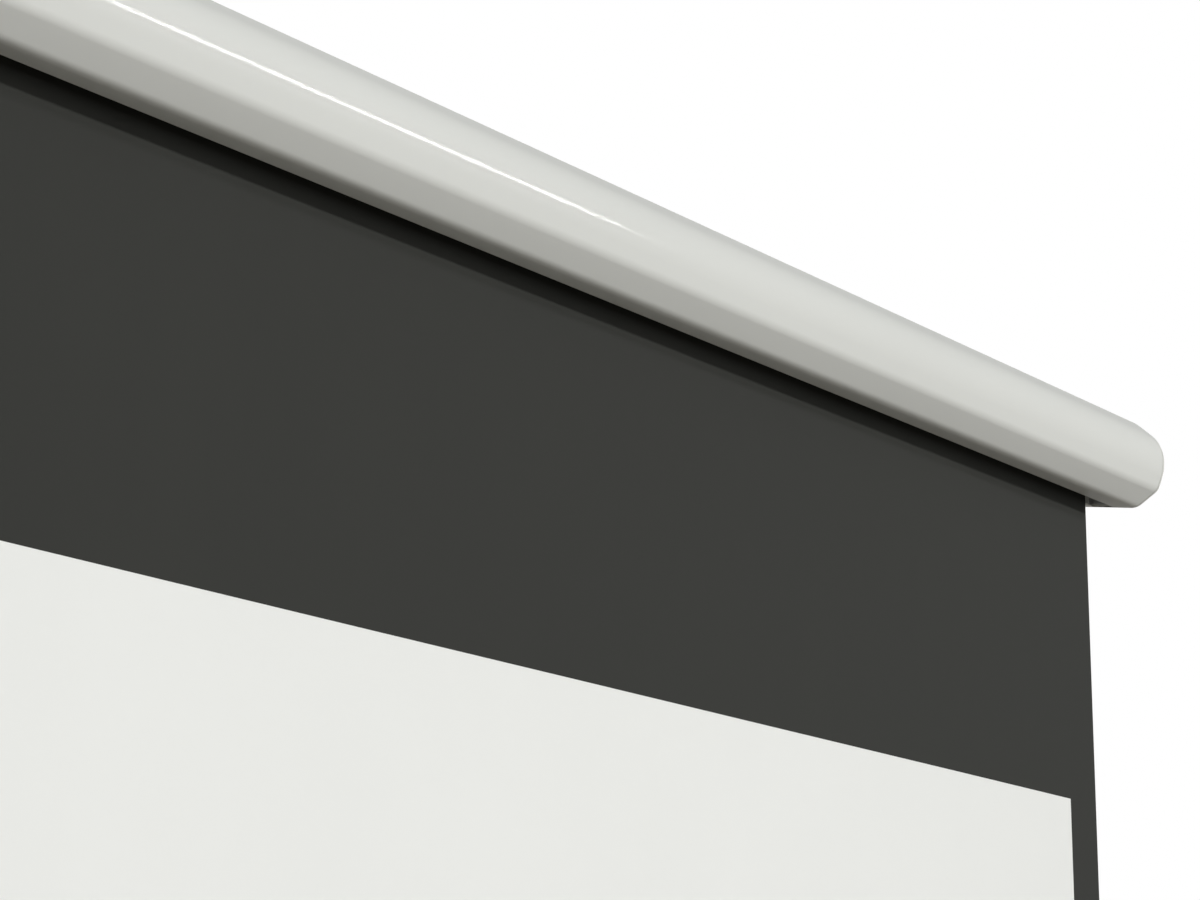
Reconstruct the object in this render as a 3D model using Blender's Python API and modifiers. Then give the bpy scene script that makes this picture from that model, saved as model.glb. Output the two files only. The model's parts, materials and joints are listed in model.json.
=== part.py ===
"""A motorized projector screen, lowered: case, tubular motor, roller, fabric and weight bar.

Metres. X runs along the case, to the right for someone facing the picture, Y runs into the
wall and Z up. The origin is on the picture's middle line, in the wall plane, at the top
faces of the brackets, where a ceiling would be. The case's section is worked out in (u, w):
u from its nose towards the wall, and w up from its chin, taken before it is rounded.
"""

import math

import bmesh
import bpy
from mathutils import Matrix, Vector
from mathutils.geometry import interpolate_bezier

# Gaps and fineness
FIT = 0.0003  # between pieces that seat on each other
RUNNING_GAP = 0.0010  # beside what slides or turns past
ROUND_STEPS = 24  # round pieces and holes
SMALL_STEPS = 16
TINY_STEPS = 10
HEXAGON = 6
TUBE_STEPS = 35
WRAP_STEPS = 36  # for each turn of fabric
LEAD_STEPS = 12
DOME_STEPS = 3
ARC_STEP = math.radians(13)
SHARP_ANGLE = math.radians(40)
SOFT_EDGE = 0.0005
LEAST_FILLET = 0.2  # share of a fillet's radius that is left however far it is drawn in

# Fabric
PICTURE_WIDTH = 2.214
PICTURE_HEIGHT = 1.245
SIDE_BORDER = 0.050
BLACK_DROP = 0.271  # from the chin's level to the picture
BOTTOM_BORDER = 0.050  # from the picture to the weight bar
FABRIC_THICKNESS = 0.0004
COATING_THICKNESS = 0.00015

# Case section
CASE_DEPTH = 0.084
CASE_HEIGHT = 0.081
CASE_WALL = 0.002
TOP_FRONT = 0.0285  # u where the flat top meets the sloped front
NOSE_TOP = 0.0557  # w where the sloped front meets the nose
NOSE_BOTTOM = 0.032  # w where the nose starts to fall back
CREASE = (0.007, 0.0137)  # u and w where it meets the lower chamfer
CHIN = 0.029  # u where the chamfer meets the underside
REAR_BOTTOM = 0.0083  # w of the underside at the wall
TOP_FRONT_RADIUS = 0.014
NOSE_TOP_RADIUS = 0.035
NOSE_BOTTOM_RADIUS = 0.040
CREASE_RADIUS = 0.012
CHIN_RADIUS = 0.015
REAR_RADIUS = 0.003
SLOT_AHEAD = 0.0152  # from the fabric to the front lip's edge
SLOT_BEHIND = 0.0052  # from the fabric to the rear flange's edge
GROOVE_FROM_REAR = 0.022
GROOVE_WIDTH = 0.008
GROOVE_DEPTH = 0.005
PORT_RADIUS = 0.0017  # screw ports
PORT_FROM_FACE = 0.0054
PORT_WALL = 0.0016
PORT_FOOT = 1.8  # width of the front port's foot, as a share of its top's

# Case ends
RIGHT_MARGIN = 0.025  # from the fabric's edge to the end of the extrusion
LEFT_MARGIN = 0.065
CAP_THICKNESS = 0.008
CAP_DOME = 0.005
CAP_SEAM = 0.0004
CAP_RIM = 0.0022
PLATE_THICKNESS = 0.002
CAP_SCREW_HEAD_RADIUS = 0.0030
CAP_SCREW_HEAD_HEIGHT = 0.0018
CAP_SCREW_GRIP = 0.012
SCREW_RECESS_RADIUS = 0.0012

# Roller
ROLLER_U = 0.0403
ROLLER_W = 0.0430
ROLLER_RADIUS = 0.025
ROLLER_WALL = 0.0018
ROLLER_OVERHANG = 0.005  # past each edge of the fabric
SEAM_RADIUS = 0.0015  # round channel that holds the fabric's spline
SEAM_MOUTH = 0.0016
SEAM_NECK = 0.0010  # depth of the mouth
SEAM_WALL = 0.0013
WRAP_TURNS = 1.4  # turns of fabric left on the lowered roller

# Tubular motor
MOTOR_RADIUS = 0.0175
MOTOR_WALL = 0.001
MOTOR_LENGTH = 0.375
HEAD_RADIUS = 0.024
HEAD_LENGTH = 0.024
NECK_RADIUS = 0.017
NECK_LENGTH = 0.028
SPIGOT_LENGTH = 0.011
CROWN_LENGTH = 0.022
RIM_FLANGE = 0.0014  # flanges of the crown and the idler plug on the tube's ends
LIMIT_UNIT_LENGTH = 0.038
CAPACITOR_LENGTH = 0.055
BRAKE_LENGTH = 0.025
STATOR_LENGTH = 0.105
ROTOR_RADIUS = 0.0087
SHAFT_RADIUS = 0.005
SHAFT_REACH = 0.034  # out of the gearbox
SHAFT_SEAT = 0.020
WHEEL_LENGTH = 0.018
WHEEL_HUB_RADIUS = 0.010
WHEEL_WEB = 0.005
WHEEL_RIM = 0.003
CLIP_RADIUS = 0.0085
CLIP_THICKNESS = 0.0012
ADJUSTER_RADIUS = 0.0035
ADJUSTER_DEPTH = 0.010
ADJUSTER_PROUD = 0.0012
ADJUSTER_SOCKET = 0.0017
ADJUSTER_SOCKET_DEPTH = 0.0035
ADJUSTER_AHEAD = 0.0118  # in front of the fabric, above the case's slot
ADJUSTER_INSET = 0.0065  # from each end of the motor head

# Motor bracket inside the left end
DISC_RADIUS = 0.028
ARM_OFFSET = 0.024
ARM_WIDTH = 0.024
TONGUE_WIDTH = 0.014
BOSS_RADIUS = 0.007
BOSS_LENGTH = 0.0065
BOSS_GROOVE = 0.0010
BOSS_CLIP_RADIUS = 0.012
PEG_RADIUS = 0.0025
PEG_OFFSET = 0.015

# Idler
IDLER_PIN_RADIUS = 0.005
IDLER_BUSH_WALL = 0.0027
IDLER_BUSH_FLANGE = 0.0020
IDLER_PLUG_LENGTH = 0.032
IDLER_PIN_FLANGE_RADIUS = 0.009
IDLER_PIN_FLANGE = 0.002

# Weight bar
BAR_HEIGHT = 0.025
BAR_DEPTH = 0.012
BAR_RADIUS = 0.004
BAR_OVERHANG = 0.008
BAR_STOP = 0.003  # left between the raised bar and the case
BAR_SLOT = 0.0016
HEM_RADIUS = 0.0022
HEM_DEPTH = 0.0075  # from the bar's top to the hem spline's middle
ROD_RADIUS = 0.0037
ROD_FROM_BOTTOM = 0.0075
BAR_CAP_THICKNESS = 0.004
BAR_CAP_PEG = 0.010

# Controls in the left end; places are (y, z) from the roller's axis
BOARD_THICKNESS = 0.0016
BOARD_STANDOFF = 0.008
BOARD_REAR = 0.034
BOARD_FRONT = 0.024
BOARD_TOP = 0.022
BOARD_BOTTOM = 0.010
POST_RADIUS = 0.0025
POST_FROM_EDGE = 0.004
SOCKET_PLACE = (0.020, 0.006)
SOCKET_WIDTH = 0.016
SOCKET_HEIGHT = 0.0135
SOCKET_RECESS = 0.0008
CAVITY_WIDTH = 0.012
CAVITY_HEIGHT = 0.008
CAVITY_DEPTH = 0.012
NOTCH_WIDTH = 0.006
NOTCH_HEIGHT = 0.002
BUTTON_PLACE = (-0.008, -0.002)
BUTTON_RADIUS = 0.004
BUTTON_PROUD = 0.0012
BUTTON_STEM_RADIUS = 0.0022
BUTTON_TRAVEL = 0.0008
SWITCH_HEIGHT = 0.0030
SWITCH_SIDE = 0.006
WINDOW_PLACE = (-0.019, 0.010)
WINDOW_RADIUS = 0.0045
WINDOW_THICKNESS = 0.003
GLAND_PLACE = (0.022, -0.024)
GLAND_RADIUS = 0.0055
GLAND_BORE = 0.0038
GLAND_LIP = 0.0016
GLAND_LIP_THICKNESS = 0.0015
RELAY_SIZE = (0.012, 0.010, 0.015)
TRANSFORMER_SIZE = (0.013, 0.020, 0.018)
TERMINAL_SIZE = (0.010, 0.024, 0.008)
LEAD_RADIUS = 0.002
LEAD_PLACE = (0.0, -0.019)
LEAD_PULL = 0.8  # share of its way along X before it bends up
LEAD_SAG = 0.0047

# Wall and ceiling brackets
BRACKET_INSET = 0.257  # from the fabric's edge to the bracket's middle
BRACKET_WIDTH = 0.060
BRACKET_THICKNESS = 0.0025
BRACKET_HOLE_RADIUS = 0.00275
BRACKET_HOLE_SPACING = 0.036
BRACKET_WALL_HOLE_W = 0.045
BRACKET_TOP_HOLE_FROM_REAR = 0.012
BRACKET_LIP = 0.0123
CLAMP_FROM_REAR = 0.0050
CLAMP_RADIUS = 0.002
CLAMP_NUT_RADIUS = 0.0040
CLAMP_NUT_HEIGHT = 0.0028
CLAMP_HEAD_RADIUS = 0.0038
CLAMP_HEAD_HEIGHT = 0.0030

# Places that follow from the sizes
FABRIC_WIDTH = PICTURE_WIDTH + 2 * SIDE_BORDER
FABRIC_EDGE = FABRIC_WIDTH / 2
CASE_LEFT = -FABRIC_EDGE - LEFT_MARGIN
CASE_RIGHT = FABRIC_EDGE + RIGHT_MARGIN
REAR_FACE = -BRACKET_THICKNESS - FIT
TOP_FACE = -BRACKET_THICKNESS - FIT
CASE_BOTTOM = TOP_FACE - CASE_HEIGHT
AXIS_Y = REAR_FACE - CASE_DEPTH + ROLLER_U
AXIS_Z = CASE_BOTTOM + ROLLER_W
TUBE_END = FABRIC_EDGE + ROLLER_OVERHANG
WRAP_INNER = ROLLER_RADIUS + FIT
WRAP_PITCH = FABRIC_THICKNESS + FIT
FABRIC_FRONT = AXIS_Y + WRAP_INNER + WRAP_PITCH * WRAP_TURNS
FABRIC_REAR = FABRIC_FRONT + FABRIC_THICKNESS
FABRIC_MIDDLE = (FABRIC_FRONT + FABRIC_REAR) / 2
FABRIC_U = FABRIC_MIDDLE - REAR_FACE + CASE_DEPTH
SLOT_FRONT = FABRIC_U - SLOT_AHEAD
SLOT_REAR = FABRIC_U + SLOT_BEHIND
PICTURE_TOP = CASE_BOTTOM - BLACK_DROP
PICTURE_BOTTOM = PICTURE_TOP - PICTURE_HEIGHT
BAR_TOP = PICTURE_BOTTOM - BOTTOM_BORDER
BAR_BOTTOM = BAR_TOP - BAR_HEIGHT
TUBE_BORE = ROLLER_RADIUS - ROLLER_WALL
SEAM_DEPTH = ROLLER_RADIUS - SEAM_RADIUS - SEAM_NECK
SEAM_ANGLE = 2 * math.pi * WRAP_TURNS
SEAM_KEY_RADIUS = SEAM_RADIUS + SEAM_WALL
MOTOR_BORE = MOTOR_RADIUS - MOTOR_WALL
INNER_RADIUS = MOTOR_BORE - FIT
HEAD_RIGHT = -TUBE_END - RIM_FLANGE - RUNNING_GAP
HEAD_LEFT = HEAD_RIGHT - HEAD_LENGTH
DISC_RIGHT = HEAD_LEFT - FIT
DISC_LEFT = DISC_RIGHT - PLATE_THICKNESS
NECK_RIGHT = HEAD_RIGHT + NECK_LENGTH
CASING_LEFT = NECK_RIGHT + FIT
CASING_RIGHT = CASING_LEFT + MOTOR_LENGTH
PLATE_INNER = CASE_LEFT - FIT
PLATE_OUTER = PLATE_INNER - PLATE_THICKNESS
CAP_FACE = CASE_LEFT - FIT - CAP_THICKNESS
BOARD_LEFT = PLATE_INNER + BOARD_STANDOFF
BOARD_RIGHT = BOARD_LEFT + BOARD_THICKNESS


# Outlines


def fillet_reach(corners, i):
    """How far the fillet at a corner reaches along its two sides."""
    corner = Vector(corners[i][:2])
    back = Vector(corners[i - 1][:2]) - corner
    ahead = Vector(corners[(i + 1) % len(corners)][:2]) - corner
    return corners[i][2] / math.tan(back.angle(ahead) / 2)


def side_share(corners, i):
    """Share of the fillets at a corner and at the next that the side between them has room for."""
    after = (i + 1) % len(corners)
    side = (Vector(corners[after][:2]) - Vector(corners[i][:2])).length
    wanted = fillet_reach(corners, i) + fillet_reach(corners, after)
    return min(1, side / wanted) if wanted else 1


def rounded(corners):
    """Points of a closed outline, from corners (across, up, radius) that are filleted."""
    points = []
    for i, (across, up, radius) in enumerate(corners):
        corner = Vector((across, up))
        back = (Vector(corners[i - 1][:2]) - corner).normalized()
        ahead = (Vector(corners[(i + 1) % len(corners)][:2]) - corner).normalized()
        half = back.angle(ahead) / 2
        if radius == 0:
            points.append(corner)
            continue
        radius *= min(side_share(corners, i), side_share(corners, i - 1))
        centre = corner + (back + ahead).normalized() * (radius / math.sin(half))
        start = corner + back * (radius / math.tan(half)) - centre
        turn = start.angle_signed(corner + ahead * (radius / math.tan(half)) - centre)
        steps = max(2, math.ceil(abs(turn) / ARC_STEP))
        for step in range(steps + 1):
            points.append(centre + Matrix.Rotation(-turn * step / steps, 2) @ start)
    return points


def inset(corners, distance):
    """The same corners drawn in by a distance. They run anticlockwise."""
    drawn_in = []
    for i, (across, up, radius) in enumerate(corners):
        corner = Vector((across, up))
        coming = (corner - Vector(corners[i - 1][:2])).normalized()
        going = (Vector(corners[(i + 1) % len(corners)][:2]) - corner).normalized()
        inward = Vector((-coming.y - going.y, coming.x + going.x))
        place = corner + inward * (distance / (1 + coming.dot(going)))
        drawn_in.append((place.x, place.y, max(radius - distance, LEAST_FILLET * radius)))
    return drawn_in


def circle(centre, radius, steps=ROUND_STEPS, start=0.0, sweep=2 * math.pi):
    """Points on a circle, or on an arc when the sweep is less than a whole turn."""
    whole = math.isclose(abs(sweep), 2 * math.pi)
    count = steps if whole else steps + 1
    angles = [start + sweep * i / steps for i in range(count)]
    return [Vector(centre) + radius * Vector((math.cos(a), math.sin(a))) for a in angles]


def case_corners():
    """The case's outer section, closed across the fabric slot."""
    return [
        (CASE_DEPTH, CASE_HEIGHT, REAR_RADIUS),
        (TOP_FRONT, CASE_HEIGHT, TOP_FRONT_RADIUS),
        (0, NOSE_TOP, NOSE_TOP_RADIUS),
        (0, NOSE_BOTTOM, NOSE_BOTTOM_RADIUS),
        (*CREASE, CREASE_RADIUS),
        (CHIN, 0, CHIN_RADIUS),
        (CASE_DEPTH, REAR_BOTTOM, REAR_RADIUS),
    ]


def underside(u, rise=0.0):
    """w of the sloped underside at u, or of a line that lies a distance above it."""
    slope = REAR_BOTTOM / (CASE_DEPTH - CHIN)
    return slope * (u - CHIN) + rise * math.hypot(1, slope)


def chamfer_frame():
    """The middle of the lower chamfer's flat, the direction up along it, and the way in."""
    corners = case_corners()
    crease, chin = 4, 5
    low, high = Vector(corners[chin][:2]), Vector(corners[crease][:2])
    along = (high - low).normalized()
    low += along * fillet_reach(corners, chin)
    high -= along * fillet_reach(corners, crease)
    return (low + high) / 2, along, Vector((along.y, -along.x))


def screw_ports():
    """Centres (u, w) of the three screw ports: top rear, bottom rear and lower front."""
    foot, _, inward = chamfer_frame()
    from_rear = CASE_DEPTH - PORT_FROM_FACE
    return [
        Vector((from_rear, CASE_HEIGHT - PORT_FROM_FACE)),
        Vector((from_rear, underside(from_rear, PORT_FROM_FACE))),
        foot + inward * PORT_FROM_FACE,
    ]


def case_section():
    """The C-shaped section: outside, then back along the inside round groove and ports."""
    top_rear, top_front, nose_top, nose_bottom, crease, chin, rear_bottom = case_corners()
    inner = inset(case_corners(), CASE_WALL)
    groove = CASE_DEPTH - GROOVE_FROM_REAR
    groove_front, groove_rear = groove - GROOVE_WIDTH / 2, groove + GROOVE_WIDTH / 2
    groove_floor = CASE_HEIGHT - GROOVE_DEPTH
    reach = PORT_RADIUS + PORT_WALL
    high_port, low_port, _ = screw_ports()
    foot, along, inward = chamfer_frame()
    outside = [
        (SLOT_FRONT, underside(SLOT_FRONT), 0),
        chin,
        crease,
        nose_bottom,
        nose_top,
        top_front,
        (groove_front, CASE_HEIGHT, 0),
        (groove_front, groove_floor, 0),
        (groove_rear, groove_floor, 0),
        (groove_rear, CASE_HEIGHT, 0),
        top_rear,
        rear_bottom,
        (SLOT_REAR, underside(SLOT_REAR), 0),
    ]
    low_side = low_port.x - reach
    inside = [
        (SLOT_REAR, underside(SLOT_REAR, CASE_WALL), 0),
        (low_side, underside(low_side, CASE_WALL), 0),
        (low_side, low_port.y + reach, 0),
        (inner[0][0], low_port.y + 2 * reach, 0),
        (inner[0][0], high_port.y - 2 * reach, 0),
        (high_port.x - reach, high_port.y - reach, 0),
        (groove_rear + CASE_WALL, groove_floor - CASE_WALL, 0),
        (groove_front - CASE_WALL, groove_floor - CASE_WALL, 0),
        (groove_front - CASE_WALL, inner[1][1], 0),
        inner[1],
        inner[2],
        inner[3],
        inner[4],
    ]
    bump_top = PORT_FROM_FACE + reach
    for shift, depth in ((PORT_FOOT, CASE_WALL), (1, bump_top), (-1, bump_top), (-PORT_FOOT, CASE_WALL)):
        point = foot + along * shift * reach + inward * depth
        inside.append((point.x, point.y, 0))
    inside += [inner[5], (SLOT_FRONT, underside(SLOT_FRONT, CASE_WALL), 0)]
    return rounded(outside + inside)


# Modelling helpers

SECTION_AXES = Matrix(((0, 0, 1), (1, 0, 0), (0, 1, 0))).to_4x4()
ALONG = {
    "X": Matrix.Rotation(math.pi / 2, 4, "Y"),
    "Y": Matrix.Rotation(-math.pi / 2, 4, "X"),
    "Z": Matrix.Identity(4),
}
ON_AXIS = (AXIS_Y, AXIS_Z)
ON_CASE = (REAR_FACE - CASE_DEPTH, CASE_BOTTOM)


def clear_scene():
    for thing in list(bpy.data.objects):
        bpy.data.objects.remove(thing, do_unlink=True)
    for name in ("projector_screen", "cutters"):
        collection = bpy.data.collections.new(name)
        bpy.context.scene.collection.children.link(collection)
    bpy.data.collections["cutters"].hide_render = True


def finish(name, colour, roughness, metallic=0.0):
    """A plain painted, plastic or metal finish."""
    material = bpy.data.materials.get(name) or bpy.data.materials.new(name)
    material.use_nodes = True
    shader = material.node_tree.nodes["Principled BSDF"]
    shader.inputs["Base Color"].default_value = (*colour, 1)
    shader.inputs["Roughness"].default_value = roughness
    shader.inputs["Metallic"].default_value = metallic
    material.diffuse_color = (*colour, 1)
    return material


FINISHES = {
    "white_paint": ((0.66, 0.67, 0.64), 0.32, 0.0),
    "white_plastic": ((0.64, 0.65, 0.62), 0.38, 0.0),
    "zinc_steel": ((0.55, 0.55, 0.53), 0.38, 1.0),
    "dark_steel": ((0.10, 0.10, 0.11), 0.45, 1.0),
    "raw_aluminium": ((0.72, 0.72, 0.73), 0.35, 1.0),
    "grey_plastic": ((0.12, 0.12, 0.13), 0.5, 0.0),
    "black_plastic": ((0.02, 0.02, 0.02), 0.4, 0.0),
    "adjuster_plastic": ((0.75, 0.62, 0.08), 0.45, 0.0),
    "brass": ((0.65, 0.48, 0.20), 0.35, 1.0),
    "copper_winding": ((0.45, 0.20, 0.10), 0.4, 1.0),
    "circuit_board": ((0.03, 0.16, 0.07), 0.45, 0.0),
    "relay_blue": ((0.05, 0.16, 0.42), 0.45, 0.0),
    "rubber": ((0.03, 0.03, 0.03), 0.8, 0.0),
    "dark_lens": ((0.03, 0.005, 0.01), 0.08, 0.0),
    "black_fabric": ((0.038, 0.040, 0.037), 0.85, 0.0),
    "white_screen": ((0.80, 0.81, 0.77), 0.9, 0.0),
}


def added(name, data, matrix, material):
    """A new object of the screen, or a cutter when no material is given."""
    thing = bpy.data.objects.new(name, data)
    thing.matrix_world = matrix
    collection = "projector_screen" if material else "cutters"
    bpy.data.collections[collection].objects.link(thing)
    if material:
        data.materials.append(finish(material, *FINISHES[material]))
    else:
        thing.hide_render = True
        thing.display_type = "WIRE"
    return thing


def section(name, outlines, x_from, x_to, place, material):
    """Outlines in the (y, z) plane from a place, run along X; inner ones are holes."""
    curve = bpy.data.curves.new(name, "CURVE")
    curve.dimensions = "2D"
    curve.fill_mode = "BOTH"
    curve.extrude = (x_to - x_from) / 2
    for outline in outlines:
        spline = curve.splines.new("POLY")
        spline.points.add(len(outline) - 1)
        for point, (across, up) in zip(spline.points, outline):
            point.co = (across, up, 0, 1)
        spline.use_cyclic_u = True
    shift = Matrix.Translation(((x_from + x_to) / 2, *place))
    return added(name, curve, shift @ SECTION_AXES, material)


def as_mesh(curve_object):
    """The same object as a welded mesh, which can be cut."""
    bpy.context.view_layer.update()
    graph = bpy.context.evaluated_depsgraph_get()
    mesh = bpy.data.meshes.new_from_object(curve_object.evaluated_get(graph))
    welded = bmesh.new()
    welded.from_mesh(mesh)
    bmesh.ops.remove_doubles(welded, verts=welded.verts, dist=1e-6)
    welded.to_mesh(mesh)
    welded.free()
    name, matrix = curve_object.name, curve_object.matrix_world.copy()
    solid = bpy.data.objects.new(name + "_mesh", mesh)
    solid.matrix_world = matrix
    solid.hide_render = curve_object.hide_render
    solid.display_type = curve_object.display_type
    curve_object.users_collection[0].objects.link(solid)
    bpy.data.objects.remove(curve_object, do_unlink=True)
    solid.name = name
    return solid


def mesh_object(name, shape, matrix, material):
    mesh = bpy.data.meshes.new(name)
    bmesh.ops.recalc_face_normals(shape, faces=shape.faces)
    shape.to_mesh(mesh)
    shape.free()
    return added(name, mesh, matrix, material)


def block(name, low, high, material):
    """A box between two corners."""
    shape = bmesh.new()
    bmesh.ops.create_cube(shape, size=1)
    size = Vector(high) - Vector(low)
    bmesh.ops.scale(shape, vec=size, verts=shape.verts)
    middle = (Vector(high) + Vector(low)) / 2
    return mesh_object(name, shape, Matrix.Translation(middle), material)


def rod(name, start, length, radius, material, along="X", steps=ROUND_STEPS):
    """A plain cylinder from its low end."""
    shape = bmesh.new()
    lift = Matrix.Translation((0, 0, length / 2))
    round_ends = {"radius1": radius, "radius2": radius}
    bmesh.ops.create_cone(
        shape, cap_ends=True, segments=steps, depth=length, matrix=lift, **round_ends
    )
    made = mesh_object(name, shape, Matrix.Translation(start) @ ALONG[along], material)
    made.data.shade_smooth()
    made.data.set_sharp_from_angle(angle=SHARP_ANGLE)
    return made


def turned(name, outline, start, material, along="X", steps=ROUND_STEPS):
    """A turned solid. The outline's (distance, radius) pairs run along the outer side.

    It starts and ends on the axis, or it is a ring: then it comes back along the bore.
    """
    ring = all(radius > 0 for _, radius in outline)
    shape = bmesh.new()
    corners = [shape.verts.new((radius, 0, far)) for far, radius in reversed(outline)]
    for a, b in zip(corners, corners[1:] + (corners[:1] if ring else [])):
        shape.edges.new((a, b))
    mesh = bpy.data.meshes.new(name)
    shape.to_mesh(mesh)
    shape.free()
    made = added(name, mesh, Matrix.Translation(start) @ ALONG[along], material)
    screw = made.modifiers.new("turn", "SCREW")
    screw.steps = screw.render_steps = steps
    screw.use_merge_vertices = True
    screw.merge_threshold = 1e-6
    screw.use_smooth_shade = True
    return made


def cut(thing, *cutters):
    for cutter in cutters:
        boolean = thing.modifiers.new(cutter.name, "BOOLEAN")
        boolean.operation = "DIFFERENCE"
        boolean.object = cutter
    return thing


def join(thing, *others):
    """Grows a solid by helper shapes, which stay out of the render."""
    for other in others:
        boolean = thing.modifiers.new(other.name, "BOOLEAN")
        boolean.operation = "UNION"
        boolean.object = other
    return thing


def soften(thing, width=SOFT_EDGE, segments=1):
    bevel = thing.modifiers.new("softened edges", "BEVEL")
    bevel.width = width
    bevel.segments = segments
    bevel.limit_method = "ANGLE"
    return thing


def lofted(name, rings, material):
    """A closed solid through rings of equally many points."""
    shape = bmesh.new()
    loops = [[shape.verts.new(point) for point in ring] for ring in rings]
    for near, far in zip(loops, loops[1:]):
        for i in range(len(near)):
            j = (i + 1) % len(near)
            shape.faces.new((near[i], near[j], far[j], far[i]))
    shape.faces.new(reversed(loops[0]))
    shape.faces.new(loops[-1])
    return mesh_object(name, shape, Matrix.Identity(4), material)


def carried(name, place, things):
    """Hangs moving pieces on an empty at their joint's axis."""
    empty = bpy.data.objects.new(name, None)
    empty.location = place
    bpy.data.collections["projector_screen"].objects.link(empty)
    bpy.context.view_layer.update()
    for thing in things:
        thing.parent = empty
        thing.matrix_parent_inverse = empty.matrix_world.inverted()


def by_axis(x, place=(0, 0)):
    """A point at x, at a place (y, z) from the roller's axis."""
    return Vector((x, AXIS_Y + place[0], AXIS_Z + place[1]))


# Case and its ends


def build_case():
    outlines = [case_section()]
    outlines += [circle(port, PORT_RADIUS, TINY_STEPS) for port in screw_ports()]
    section("case_extrusion", outlines, CASE_LEFT, CASE_RIGHT, ON_CASE, "white_paint")


def end_cap(side, end, outward):
    """A moulded cap with a domed edge, pocketed for its end plate."""
    near = end + outward * FIT
    rings = [(0, CAP_SEAM), (CAP_SEAM, 0)]
    for step in range(DOME_STEPS + 1):
        turn = math.pi / 2 * step / DOME_STEPS
        depth = CAP_THICKNESS - CAP_DOME * (1 - math.sin(turn))
        rings.append((depth, CAP_DOME * (1 - math.cos(turn))))
    placed = []
    for depth, drawn_in in rings:
        outline = rounded(inset(case_corners(), drawn_in))
        x = near + outward * depth
        placed.append([(x, ON_CASE[0] + u, ON_CASE[1] + w) for u, w in outline])
    cap = lofted(f"{side}_end_cap", placed, "white_plastic")
    pocket_outline = rounded(inset(case_corners(), CAP_RIM))
    pocket_ends = sorted((near - outward * RUNNING_GAP, near + outward * (PLATE_THICKNESS + FIT)))
    pocket = section(f"{side}_cap_pocket", [pocket_outline], *pocket_ends, ON_CASE, None)
    return cut(cap, as_mesh(pocket))


def end_plate(side, end, outward):
    """The steel plate that closes the extrusion and carries the roller."""
    outline = rounded(inset(case_corners(), CAP_RIM + FIT))
    faces = sorted((end + outward * FIT, end + outward * (FIT + PLATE_THICKNESS)))
    return as_mesh(section(f"{side}_end_plate", [outline], *faces, ON_CASE, "zinc_steel"))


def build_cap_screws(side, end, outward, cap, plate):
    """Three screws through cap and plate, and the holes that they pass."""
    shank = PORT_RADIUS - FIT
    face = end + outward * (FIT + CAP_THICKNESS)
    sink = CAP_SCREW_HEAD_HEIGHT + FIT
    for number, (u, w) in enumerate(screw_ports(), 1):
        centre = (ON_CASE[0] + u, ON_CASE[1] + w)
        seat = face - outward * sink
        inner = end - outward * CAP_SCREW_GRIP
        hole_ends = sorted((end - outward * RUNNING_GAP, face + outward * RUNNING_GAP))
        hole = rod(
            f"{side}_hole_{number}",
            (hole_ends[0], *centre),
            hole_ends[1] - hole_ends[0],
            PORT_RADIUS,
            None,
            steps=TINY_STEPS,
        )
        sink_ends = sorted((seat, face + outward * RUNNING_GAP))
        counterbore = rod(
            f"{side}_counterbore_{number}",
            (sink_ends[0], *centre),
            sink_ends[1] - sink_ends[0],
            CAP_SCREW_HEAD_RADIUS + FIT,
            None,
            steps=SMALL_STEPS,
        )
        cut(cap, hole, counterbore)
        cut(plate, hole)
        reach = seat + outward * FIT - inner
        top = reach + outward * CAP_SCREW_HEAD_HEIGHT
        outline = [
            (0, 0),
            (0, shank),
            (reach, shank),
            (reach, CAP_SCREW_HEAD_RADIUS),
            (top, CAP_SCREW_HEAD_RADIUS),
            (top, SCREW_RECESS_RADIUS),
            (top - outward * SCREW_RECESS_RADIUS, 0),
        ]
        if outward < 0:
            outline.reverse()
        name = f"{side}_cap_screw_{number}"
        turned(name, outline, (inner, *centre), "zinc_steel", steps=TINY_STEPS)


def build_ends():
    left_cap, left_plate = end_cap("left", CASE_LEFT, -1), end_plate("left", CASE_LEFT, -1)
    right_cap, right_plate = end_cap("right", CASE_RIGHT, 1), end_plate("right", CASE_RIGHT, 1)
    build_cap_screws("left", CASE_LEFT, -1, left_cap, left_plate)
    build_cap_screws("right", CASE_RIGHT, 1, right_cap, right_plate)
    pin_hole = rod("pin_hole", by_axis(CASE_RIGHT), 2 * PLATE_THICKNESS, IDLER_PIN_RADIUS + FIT, None)
    cut(right_plate, pin_hole)
    return left_cap, left_plate


# Motor


def seam_key(name, x_from, length):
    """The cutter that leaves room for the roller's seam channel, which keys what fits inside."""
    centre = SEAM_DEPTH * Vector((math.cos(SEAM_ANGLE), math.sin(SEAM_ANGLE)))
    return rod(name, by_axis(x_from, centre), length, SEAM_KEY_RADIUS + FIT, None)


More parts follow.
